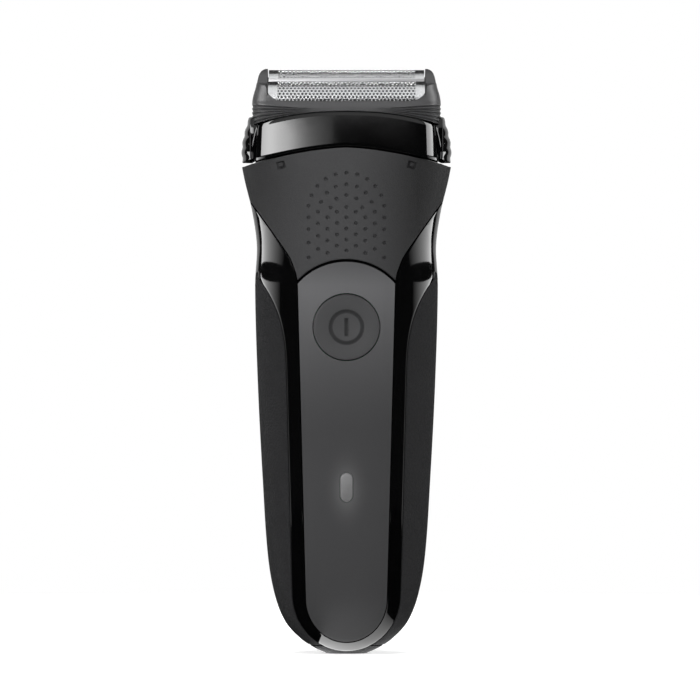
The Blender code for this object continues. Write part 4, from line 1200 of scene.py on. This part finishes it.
def make_button(sizes):
    """A dished disc with an engraved ring and bar, on a stem."""
    face = BUTTON_LOW.y - sizes.button_rise / MM
    edge = BUTTON_RADIUS
    dish_edge = edge - 0.75
    back = BUTTON_HIGH.y - face
    profile = [(0.0, BUTTON_DISH)]
    for radius in steps(0.8, dish_edge, 14):
        profile.append((radius, BUTTON_DISH * (1 - ease(radius / dish_edge))))
    profile += [(edge - 0.4, 0.02), (edge - 0.15, 0.12), (edge - 0.02, 0.32), (edge, 0.6)]
    profile += [(edge, 2.2), (edge - 0.3, 2.5), (2.0, 2.5), (2.0, back), (0.0, back)]
    profile = [(radius, face + y) for radius, y in profile]
    button = turned("power_key_cap", profile, (0.0, BUTTON_Z), 96)
    engraving = sizes.engraving / MM
    floor = face + BUTTON_DISH * (1 - ease(4.3 / dish_edge)) + engraving
    ring_corners = ((MARK_OUTER, -3.0), (MARK_OUTER, 0.0), (MARK_INNER, 0.0), (MARK_INNER, -3.0))
    ring = [(radius, floor + y) for radius, y in ring_corners + ring_corners[:1]]
    low = (-MARK_BAR_HALF_WIDTH, face - 3, BUTTON_Z - MARK_BAR_HALF_HEIGHT)
    high = (MARK_BAR_HALF_WIDTH, face + BUTTON_DISH + engraving, BUTTON_Z + MARK_BAR_HALF_HEIGHT)
    bar = block("mark_bar", low, high, 0.12)
    cut(button, turned("mark_ring", ring, (0.0, BUTTON_Z), 96), bar)
    smooth(button, 30.0)
    finished(button, "power_key", "strip_grey", button_satin(), "power_button")


# The head


def collar_place(share, angle, outer, inset=0.0):
    """A point of the collar's wall, from its lower edge at 0 to its upper edge at 1."""
    x = around(angle, COLLAR_HALF, COLLAR_FRONT, COLLAR_BACK, COLLAR_SQUARENESS)[0]
    z = blend_between(collar_edge(x), frame_edge(x) - GAP, share)
    lean = COLLAR_LEAN * min(max((z - 129.0) / 20.0, 0.0), 1.0)
    half = COLLAR_HALF - inset - 0.5 * lean
    front, back = COLLAR_FRONT - lean - inset, COLLAR_BACK - lean - inset
    x, y = around(angle, half, front, back, COLLAR_SQUARENESS)
    if y < 0:
        y += outer * (x / 20.0) ** 2
    return Vector((x, y, z))


def make_collar(sizes):
    """Two long bands with the release buttons' windows between them, on a deck and an inner wall."""
    rows = 10
    parts = []
    for start, end in ((199.6, 340.4), (16.8, 163.2)):

        def place(column, row):
            angle = math.radians(blend_between(start, end, column / 90))
            return collar_place(row / rows, angle, 0.35)

        band = thicken(stitched(sheet("collar_band", 90, rows, place), 140.0), COLLAR_WALL)
        parts.append(soften(band, 0.22, 2))

    def wall(column, row):
        x, y = around(2 * math.pi * column / 96, 22.7, 15.8, 14.4, 3.6)
        return x, y, blend_between(132.4, 145.4, row)

    parts.append(thicken(stitched(sheet("collar_wall", 96, 1, wall), 140.0), 0.9))
    outline = [around(angle, 21.9, 15.0, 13.6, 3.6) for angle in steps(0.0, 2 * math.pi, 72)[:-1]]
    plate = prism("collar_deck", outline, 132.2, 134.9, "Z")
    parts.append(cut(plate, pin("crank_way", 4.0, (0, 4.8, 120), (0, 4.8, 150), 48)))
    piece = smooth(joined("head_collar_band", parts), 30.0)
    finished(piece, "body", "gloss_black", polished_black(), "head_collar")


def key_side(y, z, half):
    """The form's half width at a depth and a height, from its half width in the middle."""
    depth = front_depth(z) if y < 0 else back_depth(z)
    return half * (1 - min(abs(y) / depth, 1.0) ** SQUARENESS) ** (1 / SQUARENESS)


def make_release_keys(sizes):
    keys = ((-1, "release_key_left", "release_left"), (1, "release_key_right", "release_right"))
    for side, name, body in keys:
        low, high = corners(body)
        columns = 40
        rows = 60

        def place(column, row):
            share = column / columns
            y = blend_between(low.y, high.y, share)
            base = collar_edge(key_side(y, KEY_BASE_Z, 28.7) - 2.8) + 0.1
            z = blend_between(base, high.z, row / rows)
            x = key_side(y, z, 0.99 * half_width(z))
            fade = ease(6 * min(share, 1 - share))
            for k in range(KEY_RIBS):
                away = (z - KEY_RIB_Z - KEY_RIB_PITCH * k) / KEY_RIB_WIDTH
                x -= KEY_RIB_DEPTH * math.exp(-(away**2)) * fade
            return side * x, y, z

        pad = stitched(sheet(name, columns, rows, place), 140.0)
        if sum(face.area * face.normal.x * side for face in pad.data.polygons) < 0:
            edited(pad, "flip_normals")
        thicken(pad, KEY_WALL)
        soften(pad, 0.35, 3, 50.0)
        web_low = (min(side * 24.0, side * 26.2), low.y + 0.25, 134.8)
        web_high = (max(side * 24.0, side * 26.2), high.y - 0.25, high.z - 0.6)
        web = block(name + "_web", web_low, web_high, 0.3)
        piece = smooth(joined(name, [pad, web]), 40.0)
        finished(piece, body, "gloss_black", polished_black(), body)


FRAME_WIDTH_CURVE = (
    (144.0, 25.7),
    (150.5, 25.7),
    (152.5, 25.35),
    (154.5, 24.75),
    (157.8, 24.1),
    (159.4, 23.3),
    (160.1, 22.2),
)


def frame_ring(angle, z, inset=0.0):
    half = curve_value(FRAME_WIDTH_CURVE, z) - inset
    rise = max(z - FRAME_SHOULDER, 0.0)
    front = 15.8 - 0.094 * rise - inset - 1.3 * ease((z - 148.6) / 2.4)
    back = 14.5 - 0.094 * rise - inset
    return around(angle, half, front, back, FRAME_SQUARENESS)


def horn_line():
    """The end walls' top edge, seen from the side: a hump over each foil."""
    front = FRONT_FOIL_HIGH.z - 0.4
    rear = REAR_FOIL_HIGH.z + 0.3
    front_y = (FRONT_FOIL_LOW.y + FRONT_FOIL_HIGH.y) / 2
    rear_y = (REAR_FOIL_LOW.y + REAR_FOIL_HIGH.y) / 2
    middle = (front_y + rear_y) / 2
    stations = (
        (-16.5, front - 3.4),
        (front_y - 4.2, front - 0.9),
        (front_y, front),
        (front_y + 4.0, front - 1.1),
        (middle, front - 1.1),
        (rear_y - 4.2, rear - 1.3),
        (rear_y, rear),
        (rear_y + 4.2, rear - 1.4),
        (15.0, rear - 4.2),
    )
    return [(y, curve_value(stations, y)) for y in steps(-16.5, 15.0, 60)]


def window(name, half, low_z, low_y, high_y, corner=4.6):
    """A foil's opening in the frame's long wall, with round lower corners."""
    right = []
    for angle in steps(0.0, math.pi / 2, 14):
        right.append((half - corner + corner * math.cos(angle), low_z + corner - corner * math.sin(angle)))
    right = [(half, low_z + 30.0)] + right
    outline = right + [(-x, z) for x, z in reversed(right)]
    return prism(name, outline, low_y, high_y)


def make_cassette(sizes):
    columns = 224
    rib_rows = 50
    wall_rows = 26

    def place(column, row):
        angle = 2 * math.pi * column / columns
        x = frame_ring(angle, FRAME_SHOULDER)[0]
        low, line = frame_edge(x), rib_line(x)
        if row == 0:
            x, y = around(angle, 18.8, 11.0, 10.0, FRAME_SQUARENESS)
            return x, y, frame_edge(x)
        if row <= rib_rows:
            share = (row - 1) / (rib_rows - 1)
            z = blend_between(low, line, share)
            fade = ease((line - low - 0.4) / 2.6)
            wave = 0.5 - 0.5 * math.cos(2 * math.pi * (FRAME_RIBS * share + 0.5))
            depth = sizes.rib / MM * fade * (1 - wave**0.7)
            x, y = frame_ring(angle, max(z, FRAME_SHOULDER), depth)
            return x, y, z
        share = (row - rib_rows) / wall_rows
        z = blend_between(line, FRAME_TOP, 1 - (1 - share) ** 1.25)
        x, y = frame_ring(angle, z)
        return x, y, z

    body = stitched(sheet("cassette_shell", columns, rib_rows + wall_rows, place), 150.0)
    capped(body)
    line = horn_line()
    far = 60.0
    above = [(far, line[-1][1]), (far, 220.0), (-far, 220.0), (-far, line[0][1])]
    cut(body, prism("above_horns", line + above, -far, far, "X"))
    space_low = (-FOIL_HALF - GAP, FRONT_FOIL_LOW.y - GAP, 147.7)
    space_high = (FOIL_HALF + GAP, REAR_FOIL_HIGH.y + GAP, 240.0)
    cut(body, block("foil_space", space_low, space_high))
    inner = [(20.3, -12.2), (20.3, 11.0), (-20.3, 11.0), (-20.3, -12.2)]
    cut(body, prism("seat_space", inner, 100.0, 200.0, "Z"))
    low_front = FRONT_FOIL_HIGH.z - 5.6
    low_rear = low_front + REAR_FOIL_HIGH.z - FRONT_FOIL_HIGH.z
    cut(body, window("front_window", FOIL_HALF + 0.6, low_front, -60.0, -7.0))
    cut(body, window("rear_window", FOIL_HALF - 0.6, low_rear, 6.0, 60.0))
    outline = [around(angle, 21.6, 13.5, 12.3, 9.0) for angle in steps(0.0, 2 * math.pi, 96)[:-1]]
    skirt_low = corners("cassette_frame")[0].z
    skirt = prism("frame_skirt", outline, skirt_low, FRAME_SHOULDER, "Z")
    hollow = [(x * 0.935, y * 0.89) for x, y in outline]
    cut(skirt, prism("skirt_space", hollow, 100.0, 200.0, "Z"))
    piece = smooth(joined("cassette_shell", [body, skirt]), 32.0)
    finished(piece, "cassette", "frame_grey", frame_grey(), "cassette_frame")


def arch_point(length, radius, y, z):
    """A point on an arch over two legs, by its length from the front foot."""
    arc = math.pi * radius
    if length < FOIL_LEG:
        return y - radius, z - FOIL_LEG + length
    if length < FOIL_LEG + arc:
        angle = (length - FOIL_LEG) / radius
        return y - radius * math.cos(angle), z + radius * math.sin(angle)
    return y + radius, z - (length - FOIL_LEG - arc)


def honeycomb(name, pitch, wall, across, up):
    """A flat sheet of hexagonal holes, made from one cell."""
    clear()
    bpy.ops.mesh.primitive_circle_add(vertices=6, radius=pitch / math.sqrt(3) * MM, fill_type="NGON")
    cell = new_piece(name)
    edited(cell, ("inset", {"thickness": wall / 2 * MM}), ("delete", {"type": "FACE"}))
    row = pitch * math.sqrt(3) / 2
    pair = copies(cell, [(0, 0, 0), (pitch / 2, row, 0)])
    merge = {"use_merge_vertices": True, "merge_threshold": 0.01 * MM, "use_relative_offset": False}
    merge["use_constant_offset"] = True
    apply(pair, "ARRAY", count=across, constant_offset_displace=(pitch * MM, 0, 0), **merge)
    apply(pair, "ARRAY", count=up, constant_offset_displace=(0, 2 * row * MM, 0), **merge)
    return pair


def make_foils(sizes):
    radius = FOIL_RADIUS - 0.01
    total = math.pi * radius + 2 * FOIL_LEG
    pitch = sizes.hole_pitch / MM
    field = FOIL_HALF - 2.5
    names = (("foil_sheet_front", "foil_front", "front_foil"), ("foil_sheet_rear", "foil_rear", "rear_foil"))
    for name, node, body in names:
        low, high = corners(node)
        y = (low.y + high.y) / 2
        z = high.z - FOIL_RADIUS
        across = int(2 * field / pitch) + 1
        up = int(total / (pitch * math.sqrt(3)))
        mesh = honeycomb(name + "_mesh", pitch, sizes.hole_wall / MM, across, up)
        places = [vertex.co / MM for vertex in mesh.data.vertices]
        left = min(p.x for p in places)
        right = max(p.x for p in places)
        bottom = min(p.y for p in places)
        top = max(p.y for p in places)
        for vertex, place in zip(mesh.data.vertices, places):
            length = (place.y - bottom) / (top - bottom) * (total - 0.6) + 0.3
            new_y, new_z = arch_point(length, radius, y, z)
            new_x = (place.x - (left + right) / 2) * 2 * (field + 0.3) / (right - left)
            vertex.co = Vector((new_x, new_y, new_z)) * MM
        stitched(mesh, z - 2.0)
        thicken(mesh, sizes.foil / MM)
        parts = [mesh]
        for side in (-1, 1):

            def place(column, row):
                new_y, new_z = arch_point(total * row / 40, radius + 0.005, y, z)
                return side * blend_between(field - 0.1, FOIL_HALF, column / 4), new_y, new_z

            plate = stitched(sheet(f"{name}_plate_{side}", 4, 40, place), z - 2.0)
            parts.append(thicken(plate, sizes.foil / MM + 0.03))
        piece = smooth(joined(name, parts), 40.0)
        finished(piece, body, "foil_steel", foil_steel(), node)


def make_cutters(sizes):
    """A row of thin arched blades on a carrier, under each foil."""
    for name, node, body in (
        ("blade_block_front", "cutter_front", "front_cutter"),
        ("blade_block_rear", "cutter_rear", "rear_cutter"),
    ):
        low, high = corners(node)
        half = high.x
        y = (low.y + high.y) / 2
        radius = (high.y - low.y) / 2
        z = high.z - radius
        pitch = 2 * (half - 0.3) / (BLADES - 1)

        def place(column, row):
            angle = math.pi * column / 18
            reach = radius - BLADE_DEPTH * (1 - row)
            return -half + 0.15, y - reach * math.cos(angle), z + reach * math.sin(angle)

        blade = sheet(name, 18, 1, place)
        apply(blade, "SOLIDIFY", thickness=BLADE_WIDTH * MM, offset=0.0)
        blades = copies(blade, [(pitch * i + 0.15, 0, 0) for i in range(BLADES)])
        carrier_high = (half, y + radius, z + 0.3)
        carrier = block(name + "_carrier", (-half, y - radius, low.z), carrier_high, 0.3)
        cut(carrier, pin("post_way", 1.6, (0, y, low.z - 3), (0, y, z - 0.3), 32))
        cut(carrier, pin("spring_way", 3.3, (0, y, low.z - 3), (0, y, low.z + 1.1), 32))
        piece = smooth(joined(name, [blades, carrier]), 35.0)
        finished(piece, body, "blade_steel", shaded_steel(), node)


def make_trimmer(sizes):
    """The middle trimmer: a channel between two rails, joined by fine teeth."""
    low, high = TRIMMER_LOW, TRIMMER_HIGH
    y = (low.y + high.y) / 2
    guard = block("trimmer_comb", low, high, 0.18)
    cut(guard, block("blade_way", (-60, y - 0.75, low.z - 5), (60, y + 0.75, high.z - 0.8)))
    pitch = 2 * TOOTH_FIELD / TEETH
    first = block("tooth_gap", (-0.28, y - 1.15, high.z - 2.6), (0.28, y + 1.15, high.z + 5))
    offsets = [(-TOOTH_FIELD + pitch * (i + 0.5), 0, 0) for i in range(TEETH)]
    cut(guard, copies(first, offsets))
    smooth(guard, 30.0)
    finished(guard, "trimmer", "blade_steel", ground_steel(), "trimmer_guard")


# Solids that keep their own shape


KEPT = (
    (moulded_black, ("power_socket", "inner_chassis", "tact_switch", "drive_bridge")),
    (plated_nickel, ("contact_pin_left", "contact_pin_right", "battery_tab_left")),
    (plated_nickel, ("battery_tab_right", "battery_tab_top")),
    (ground_steel, SCREW_NODES + ("motor_can", "motor_mount", "motor_shaft", "trimmer_blade")),
    (ground_steel, ("motor_screw_left", "motor_screw_right", "guide_rod_front", "guide_rod_rear")),
    (ground_steel, ("cutter_spring_front", "cutter_spring_rear")),
    (cell_wrap, ("battery_cell_left", "battery_cell_right")),
    (board_green, ("circuit_board",)),
    (grip_rubber, ("neck_seal",)),
    (light_milk, ("light_chip",)),
)


def finish_kept(sizes):
    for finish, nodes in KEPT:
        for node in nodes:
            solid = frame["nodes"][node]
            if not solid.material_slots:
                solid.data.materials.append(finish())
            for slot in solid.material_slots:
                slot.material = finish()


# The studio

SCREEN_CENTRE_Z = 110.0
KEY_FALL = (
    (0.0, 9.0),
    (0.3, 13.0),
    (0.5, 14.0),
    (0.7, 12.0),
    (0.85, 9.5),
    (0.9, 6.5),
    (0.945, 3.8),
    (0.985, 1.3),
    (1.0, 1.0),
)
LOW_FALL = ((0.0, 6.0), (0.4, 4.0), (1.0, 0.1))
LOW_RISE = ((0.0, 0.1), (0.6, 4.0), (1.0, 6.0))
BACK_GLOW = ((0.0, 0.5), (1.0, 0.5))
HIGH_GLOW = ((0.0, 0.85), (1.0, 0.85))
SCREENS = (
    ("key_screen", (-92.0, -1.2), (9.5, 45.0), 1200.0, KEY_FALL),
    ("right_screen", (66.0, 104.0), (9.5, 40.0), 1200.0, ((0.0, 6.0), (1.0, 10.0))),
    ("left_low_screen", (-125.0, -62.0), (-35.0, 4.0), 1000.0, LOW_FALL),
    ("right_low_screen", (62.0, 125.0), (-35.0, 4.0), 1000.0, LOW_RISE),
    ("left_back_screen", (-170.0, -140.0), (-12.0, 20.0), 1000.0, BACK_GLOW),
    ("right_back_screen", (140.0, 170.0), (-12.0, 20.0), 1000.0, BACK_GLOW),
    ("high_screen", (-60.0, 60.0), (16.0, 100.0), 1100.0, HIGH_GLOW),
)
CAMERA_X = 0.96
CAMERA_DISTANCE = 1500.0
CAMERA_Z = 82.9
CAMERA_SENSOR = 36.0
PICTURE_WIDTH = 191.5


def only_reflected(piece):
    """Keeps a piece of the stage out of sight, except in reflections."""
    piece.visible_camera = False
    piece.visible_shadow = False
    piece.visible_diffuse = False
    piece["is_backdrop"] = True


def shining(name, strength):
    return Finish(name, BLACK, 1.0, specular_ior_level=0.0, emission_strength=strength)


def screen(name, azimuths, elevations, radius, strengths):
    """A curved soft light around the shaver: azimuth 0 is in front, 90 to the right."""
    columns, rows = 24, 8
    centre = Vector((0.0, 0.0, SCREEN_CENTRE_Z))

    def place(column, row):
        azimuth = math.radians(blend_between(*azimuths, column / columns))
        rise = math.radians(blend_between(*elevations, row / rows))
        flat = radius * math.cos(rise)
        reach = (flat * math.sin(azimuth), -flat * math.cos(azimuth), radius * math.sin(rise))
        return centre + Vector(reach)

    piece = sheet(name, columns, rows, place)
    glow = piece.data.attributes.new("glow", "FLOAT", "POINT")
    for index, vertex in enumerate(piece.data.vertices):
        spot = vertex.co / MM - centre
        azimuth = math.degrees(math.atan2(spot.x, -spot.y))
        share = (azimuth - azimuths[0]) / (azimuths[1] - azimuths[0])
        glow.data[index].value = curve_value(strengths, share)
    shine = shining(name, 1.0)
    read = shine.node("Attribute", {"attribute_name": "glow"}, {}, "Color")
    shine.feed("Emission Color", read)
    piece.data.materials.append(shine.material)
    only_reflected(piece)


def make_card(name, low, high, z, strength):
    """A flat card just above the floor, seen only in polished surfaces that face down."""
    clear()
    bpy.ops.mesh.primitive_plane_add(size=1.0)
    card = new_piece(name)
    ends = ((low[0], low[1]), (high[0], low[1]), (low[0], high[1]), (high[0], high[1]))
    for vertex, (x, y) in zip(card.data.vertices, ends):
        vertex.co = Vector((x, y, z)) * MM
    shine = shining(name, strength)
    fade = shine.clamped((shine.along("X") - high[0]) / (low[0] - high[0]) + 0.15)
    shine.feed("Emission Color", shine.mixed(fade, BLACK, WHITE))
    card.data.materials.append(shine.material)
    only_reflected(card)


def soft_light(name, place, aim, size, power):
    clear()
    bpy.ops.object.light_add(type="AREA", location=Vector(place) * MM)
    lamp = bpy.context.object
    lamp.name = name
    lamp.data.energy = power
    lamp.data.shape = "RECTANGLE"
    lamp.data.size = size[0] * MM
    lamp.data.size_y = size[1] * MM
    way = Vector(aim) - Vector(place)
    lamp.rotation_euler = way.to_track_quat("-Z", "Y").to_euler()
    lamp.visible_camera = False
    lamp.visible_glossy = False
    return lamp


def make_world(white, fill):
    """White where the camera sees it, and a faint fill everywhere else."""
    world = bpy.data.worlds.new("studio")
    bpy.context.scene.world = world
    world.use_nodes = True
    tree = world.node_tree
    tree.nodes.clear()
    output = tree.nodes.new("ShaderNodeOutputWorld")
    path = tree.nodes.new("ShaderNodeLightPath")
    mix = tree.nodes.new("ShaderNodeMixShader")
    tree.links.new(path.outputs["Is Camera Ray"], mix.inputs[0])
    for index, level in ((1, fill), (2, white)):
        background = tree.nodes.new("ShaderNodeBackground")
        background.inputs["Color"].default_value = (level, level, level, 1.0)
        tree.links.new(background.outputs[0], mix.inputs[index])
    tree.links.new(mix.outputs[0], output.inputs["Surface"])


def make_floor():
    clear()
    bpy.ops.mesh.primitive_circle_add(vertices=128, radius=0.4, fill_type="NGON")
    floor = new_piece("pale_floor")
    finish = Finish("pale_floor", (0.92, 0.92, 0.92), 0.6)
    place = finish.position()
    away = finish.node("VectorMath", {"operation": "LENGTH"}, {0: place}, "Value")
    finish.feed("Alpha", finish.clamped((380.0 - away) / 160.0))
    finish.feed("Emission Color", (1.0, 1.0, 1.0, 1.0))
    finish.feed("Emission Strength", 0.6)
    floor.data.materials.append(finish.material)
    floor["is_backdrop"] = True


def make_camera():
    clear()
    place = Vector((CAMERA_X, -CAMERA_DISTANCE, CAMERA_Z)) * MM
    bpy.ops.object.camera_add(location=place, rotation=(math.radians(90), 0, 0))
    camera = bpy.context.object
    camera.name = "studio_camera"
    camera.data.sensor_width = CAMERA_SENSOR
    camera.data.lens = CAMERA_SENSOR * CAMERA_DISTANCE / PICTURE_WIDTH
    bpy.context.scene.camera = camera


def make_stage(sizes):
    bpy.context.scene.view_settings.view_transform = "Standard"
    make_world(1.0, 0.02)
    make_floor()
    make_camera()
    for name, azimuths, elevations, radius, strengths in SCREENS:
        screen(name, azimuths, elevations, radius, strengths)
    make_card("black_flag", (-300, -300), (300, 300), 0.04, 0.0)
    make_card("low_card", (-9, -40), (24, 12), 0.08, 6.5)
    soft_light("front_top_light", (-150, -600, 1100), (0, 0, 90), (700, 500), 12.0)
    soft_light("front_light", (-60, -1200, 300), (0, 0, 90), (400, 500), 10.0)
    soft_light("top_light", (0, 100, 1100), (0, 0, 80), (700, 500), 5.0)
    soft_light("back_left_light", (-700, 800, 500), (0, 0, 90), (350, 600), 4.0)
    soft_light("back_right_light", (800, 700, 400), (0, 0, 90), (350, 600), 4.0)


# The add-on


def length(name, description, value):
    return FloatProperty(name=name, description=description, default=value, unit="LENGTH")


def colour(name, description, value):
    return FloatVectorProperty(name=name, description=description, default=value, subtype="COLOR", size=3)


class ShaverSizes(bpy.types.PropertyGroup):
    """Sizes that a user would change."""

    wall: length("Skin wall", "Wall of the outer skins", 0.0013)
    rounding: length("Edge rounding", "Radius along the skins' edges", 0.00025)
    dome: length("Strip dome", "Rise of the strip about the button", 0.0009)
    button_rise: length("Button rise", "The button's rim above its solid", 0.0006)
    engraving: length("Engraving", "Depth of the power mark", 0.0003)
    dimple: length("Dimple radius", "Radius of a dimple", 0.00056)
    rib: length("Rib depth", "Depth of the frame's ribs", 0.00042)
    hole_pitch: length("Foil hole pitch", "Spacing of the foil's holes", 0.00102)
    hole_wall: length("Foil web", "Metal between two holes", 0.00038)
    foil: length("Foil thickness", "Thickness of a foil", 0.0001)


class ShaverColours(bpy.types.PropertyGroup):
    """Colours that a user would change."""

    polished: colour("Polished black", "Gloss rim and collar", (0.0008, 0.0008, 0.0009))
    moulded: colour("Moulded black", "Rear housing", (0.016, 0.016, 0.017))
    rubber: colour("Rubber", "Grips", (0.0085, 0.0085, 0.009))
    shield: colour("Shield grey", "Front shield", (0.034, 0.034, 0.035))
    strip: colour("Strip grey", "Centre strip", (0.033, 0.033, 0.034))
    button: colour("Button grey", "Power button", (0.038, 0.038, 0.039))
    frame: colour("Frame grey", "Foil frame", (0.034, 0.034, 0.035))
    steel: colour("Foil steel", "Foils", (0.75, 0.76, 0.77))
    blade: colour("Blade steel", "Blades and metal parts", (0.5, 0.5, 0.51))
    light: colour("Charge light", "Milky lens", (0.05, 0.05, 0.05))


def run_makers(context, *makers):
    """What every operator does: it runs its makers in order, with the scene's sizes."""
    for make in makers:
        make(context.scene.shaver_sizes)
    return {"FINISHED"}


class SHAVER_OT_housing(bpy.types.Operator):
    """Make the front and rear housing shells."""

    bl_idname = "shaver.housing"
    bl_label = "Housing shells"

    def execute(self, context):
        return run_makers(context, make_front_housing, make_rear_housing)


class SHAVER_OT_grips(bpy.types.Operator):
    """Make the two rubber grips."""

    bl_idname = "shaver.grips"
    bl_label = "Grips"

    def execute(self, context):
        return run_makers(context, make_grips)


class SHAVER_OT_shield(bpy.types.Operator):
    """Make the dimpled front shield."""

    bl_idname = "shaver.shield"
    bl_label = "Front shield"

    def execute(self, context):
        return run_makers(context, make_shield)


class SHAVER_OT_strip(bpy.types.Operator):
    """Make the centre strip and its charge light."""

    bl_idname = "shaver.strip"
    bl_label = "Centre strip and light"

    def execute(self, context):
        return run_makers(context, make_strip, make_light)


class SHAVER_OT_button(bpy.types.Operator):
    """Make the power button."""

    bl_idname = "shaver.button"
    bl_label = "Power button"

    def execute(self, context):
        return run_makers(context, make_button)


class SHAVER_OT_collar(bpy.types.Operator):
    """Make the gloss collar."""

    bl_idname = "shaver.collar"
    bl_label = "Head collar"

    def execute(self, context):
        return run_makers(context, make_collar)


class SHAVER_OT_release_keys(bpy.types.Operator):
    """Make the two ribbed release buttons."""

    bl_idname = "shaver.release_keys"
    bl_label = "Release buttons"

    def execute(self, context):
        return run_makers(context, make_release_keys)


class SHAVER_OT_cassette(bpy.types.Operator):
    """Make the foil frame."""

    bl_idname = "shaver.cassette"
    bl_label = "Foil frame"

    def execute(self, context):
        return run_makers(context, make_cassette)


class SHAVER_OT_foils(bpy.types.Operator):
    """Make the two perforated foils."""

    bl_idname = "shaver.foils"
    bl_label = "Foils"

    def execute(self, context):
        return run_makers(context, make_foils)


class SHAVER_OT_blades(bpy.types.Operator):
    """Make the blade blocks and the middle trimmer."""

    bl_idname = "shaver.blades"
    bl_label = "Blades and trimmer"

    def execute(self, context):
        return run_makers(context, make_cutters, make_trimmer)


class SHAVER_OT_kept(bpy.types.Operator):
    """Give the solids that keep their shape their finishes."""

    bl_idname = "shaver.kept"
    bl_label = "Inner parts' finishes"

    def execute(self, context):
        return run_makers(context, finish_kept)


class SHAVER_OT_stage(bpy.types.Operator):
    """Make the floor, the lights and the camera."""

    bl_idname = "shaver.stage"
    bl_label = "Studio"

    def execute(self, context):
        return run_makers(context, make_stage)


OPERATORS = (
    SHAVER_OT_housing,
    SHAVER_OT_grips,
    SHAVER_OT_shield,
    SHAVER_OT_strip,
    SHAVER_OT_button,
    SHAVER_OT_collar,
    SHAVER_OT_release_keys,
    SHAVER_OT_cassette,
    SHAVER_OT_foils,
    SHAVER_OT_blades,
    SHAVER_OT_kept,
    SHAVER_OT_stage,
)


class SHAVER_PT_panel(bpy.types.Panel):
    """Lists the shaver's pieces, sizes and colours."""

    bl_idname = "SHAVER_PT_panel"
    bl_label = "Foil shaver"
    bl_space_type = "VIEW_3D"
    bl_region_type = "UI"
    bl_category = "Shaver"

    def draw(self, context):
        for operator in OPERATORS:
            self.layout.operator(operator.bl_idname)
        for group in (context.scene.shaver_sizes, context.scene.shaver_colours):
            for name in group.__annotations__:
                self.layout.prop(group, name)


CLASSES = (ShaverSizes, ShaverColours) + OPERATORS + (SHAVER_PT_panel,)


def register():
    for made in CLASSES:
        bpy.utils.register_class(made)
    bpy.types.Scene.shaver_sizes = PointerProperty(type=ShaverSizes)
    bpy.types.Scene.shaver_colours = PointerProperty(type=ShaverColours)


def unregister():
    del bpy.types.Scene.shaver_colours
    del bpy.types.Scene.shaver_sizes
    for made in reversed(CLASSES):
        bpy.utils.unregister_class(made)


def main():
    register()
    for operator in OPERATORS:
        group, name = operator.bl_idname.split(".")
        getattr(getattr(bpy.ops, group), name)()
    clear()
    boxes = {"cad": CAD_BOX, "visual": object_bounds()}
    {name: [list(corner) for corner in box] for name, box in boxes.items()}


if __name__ == "__main__":
    main()
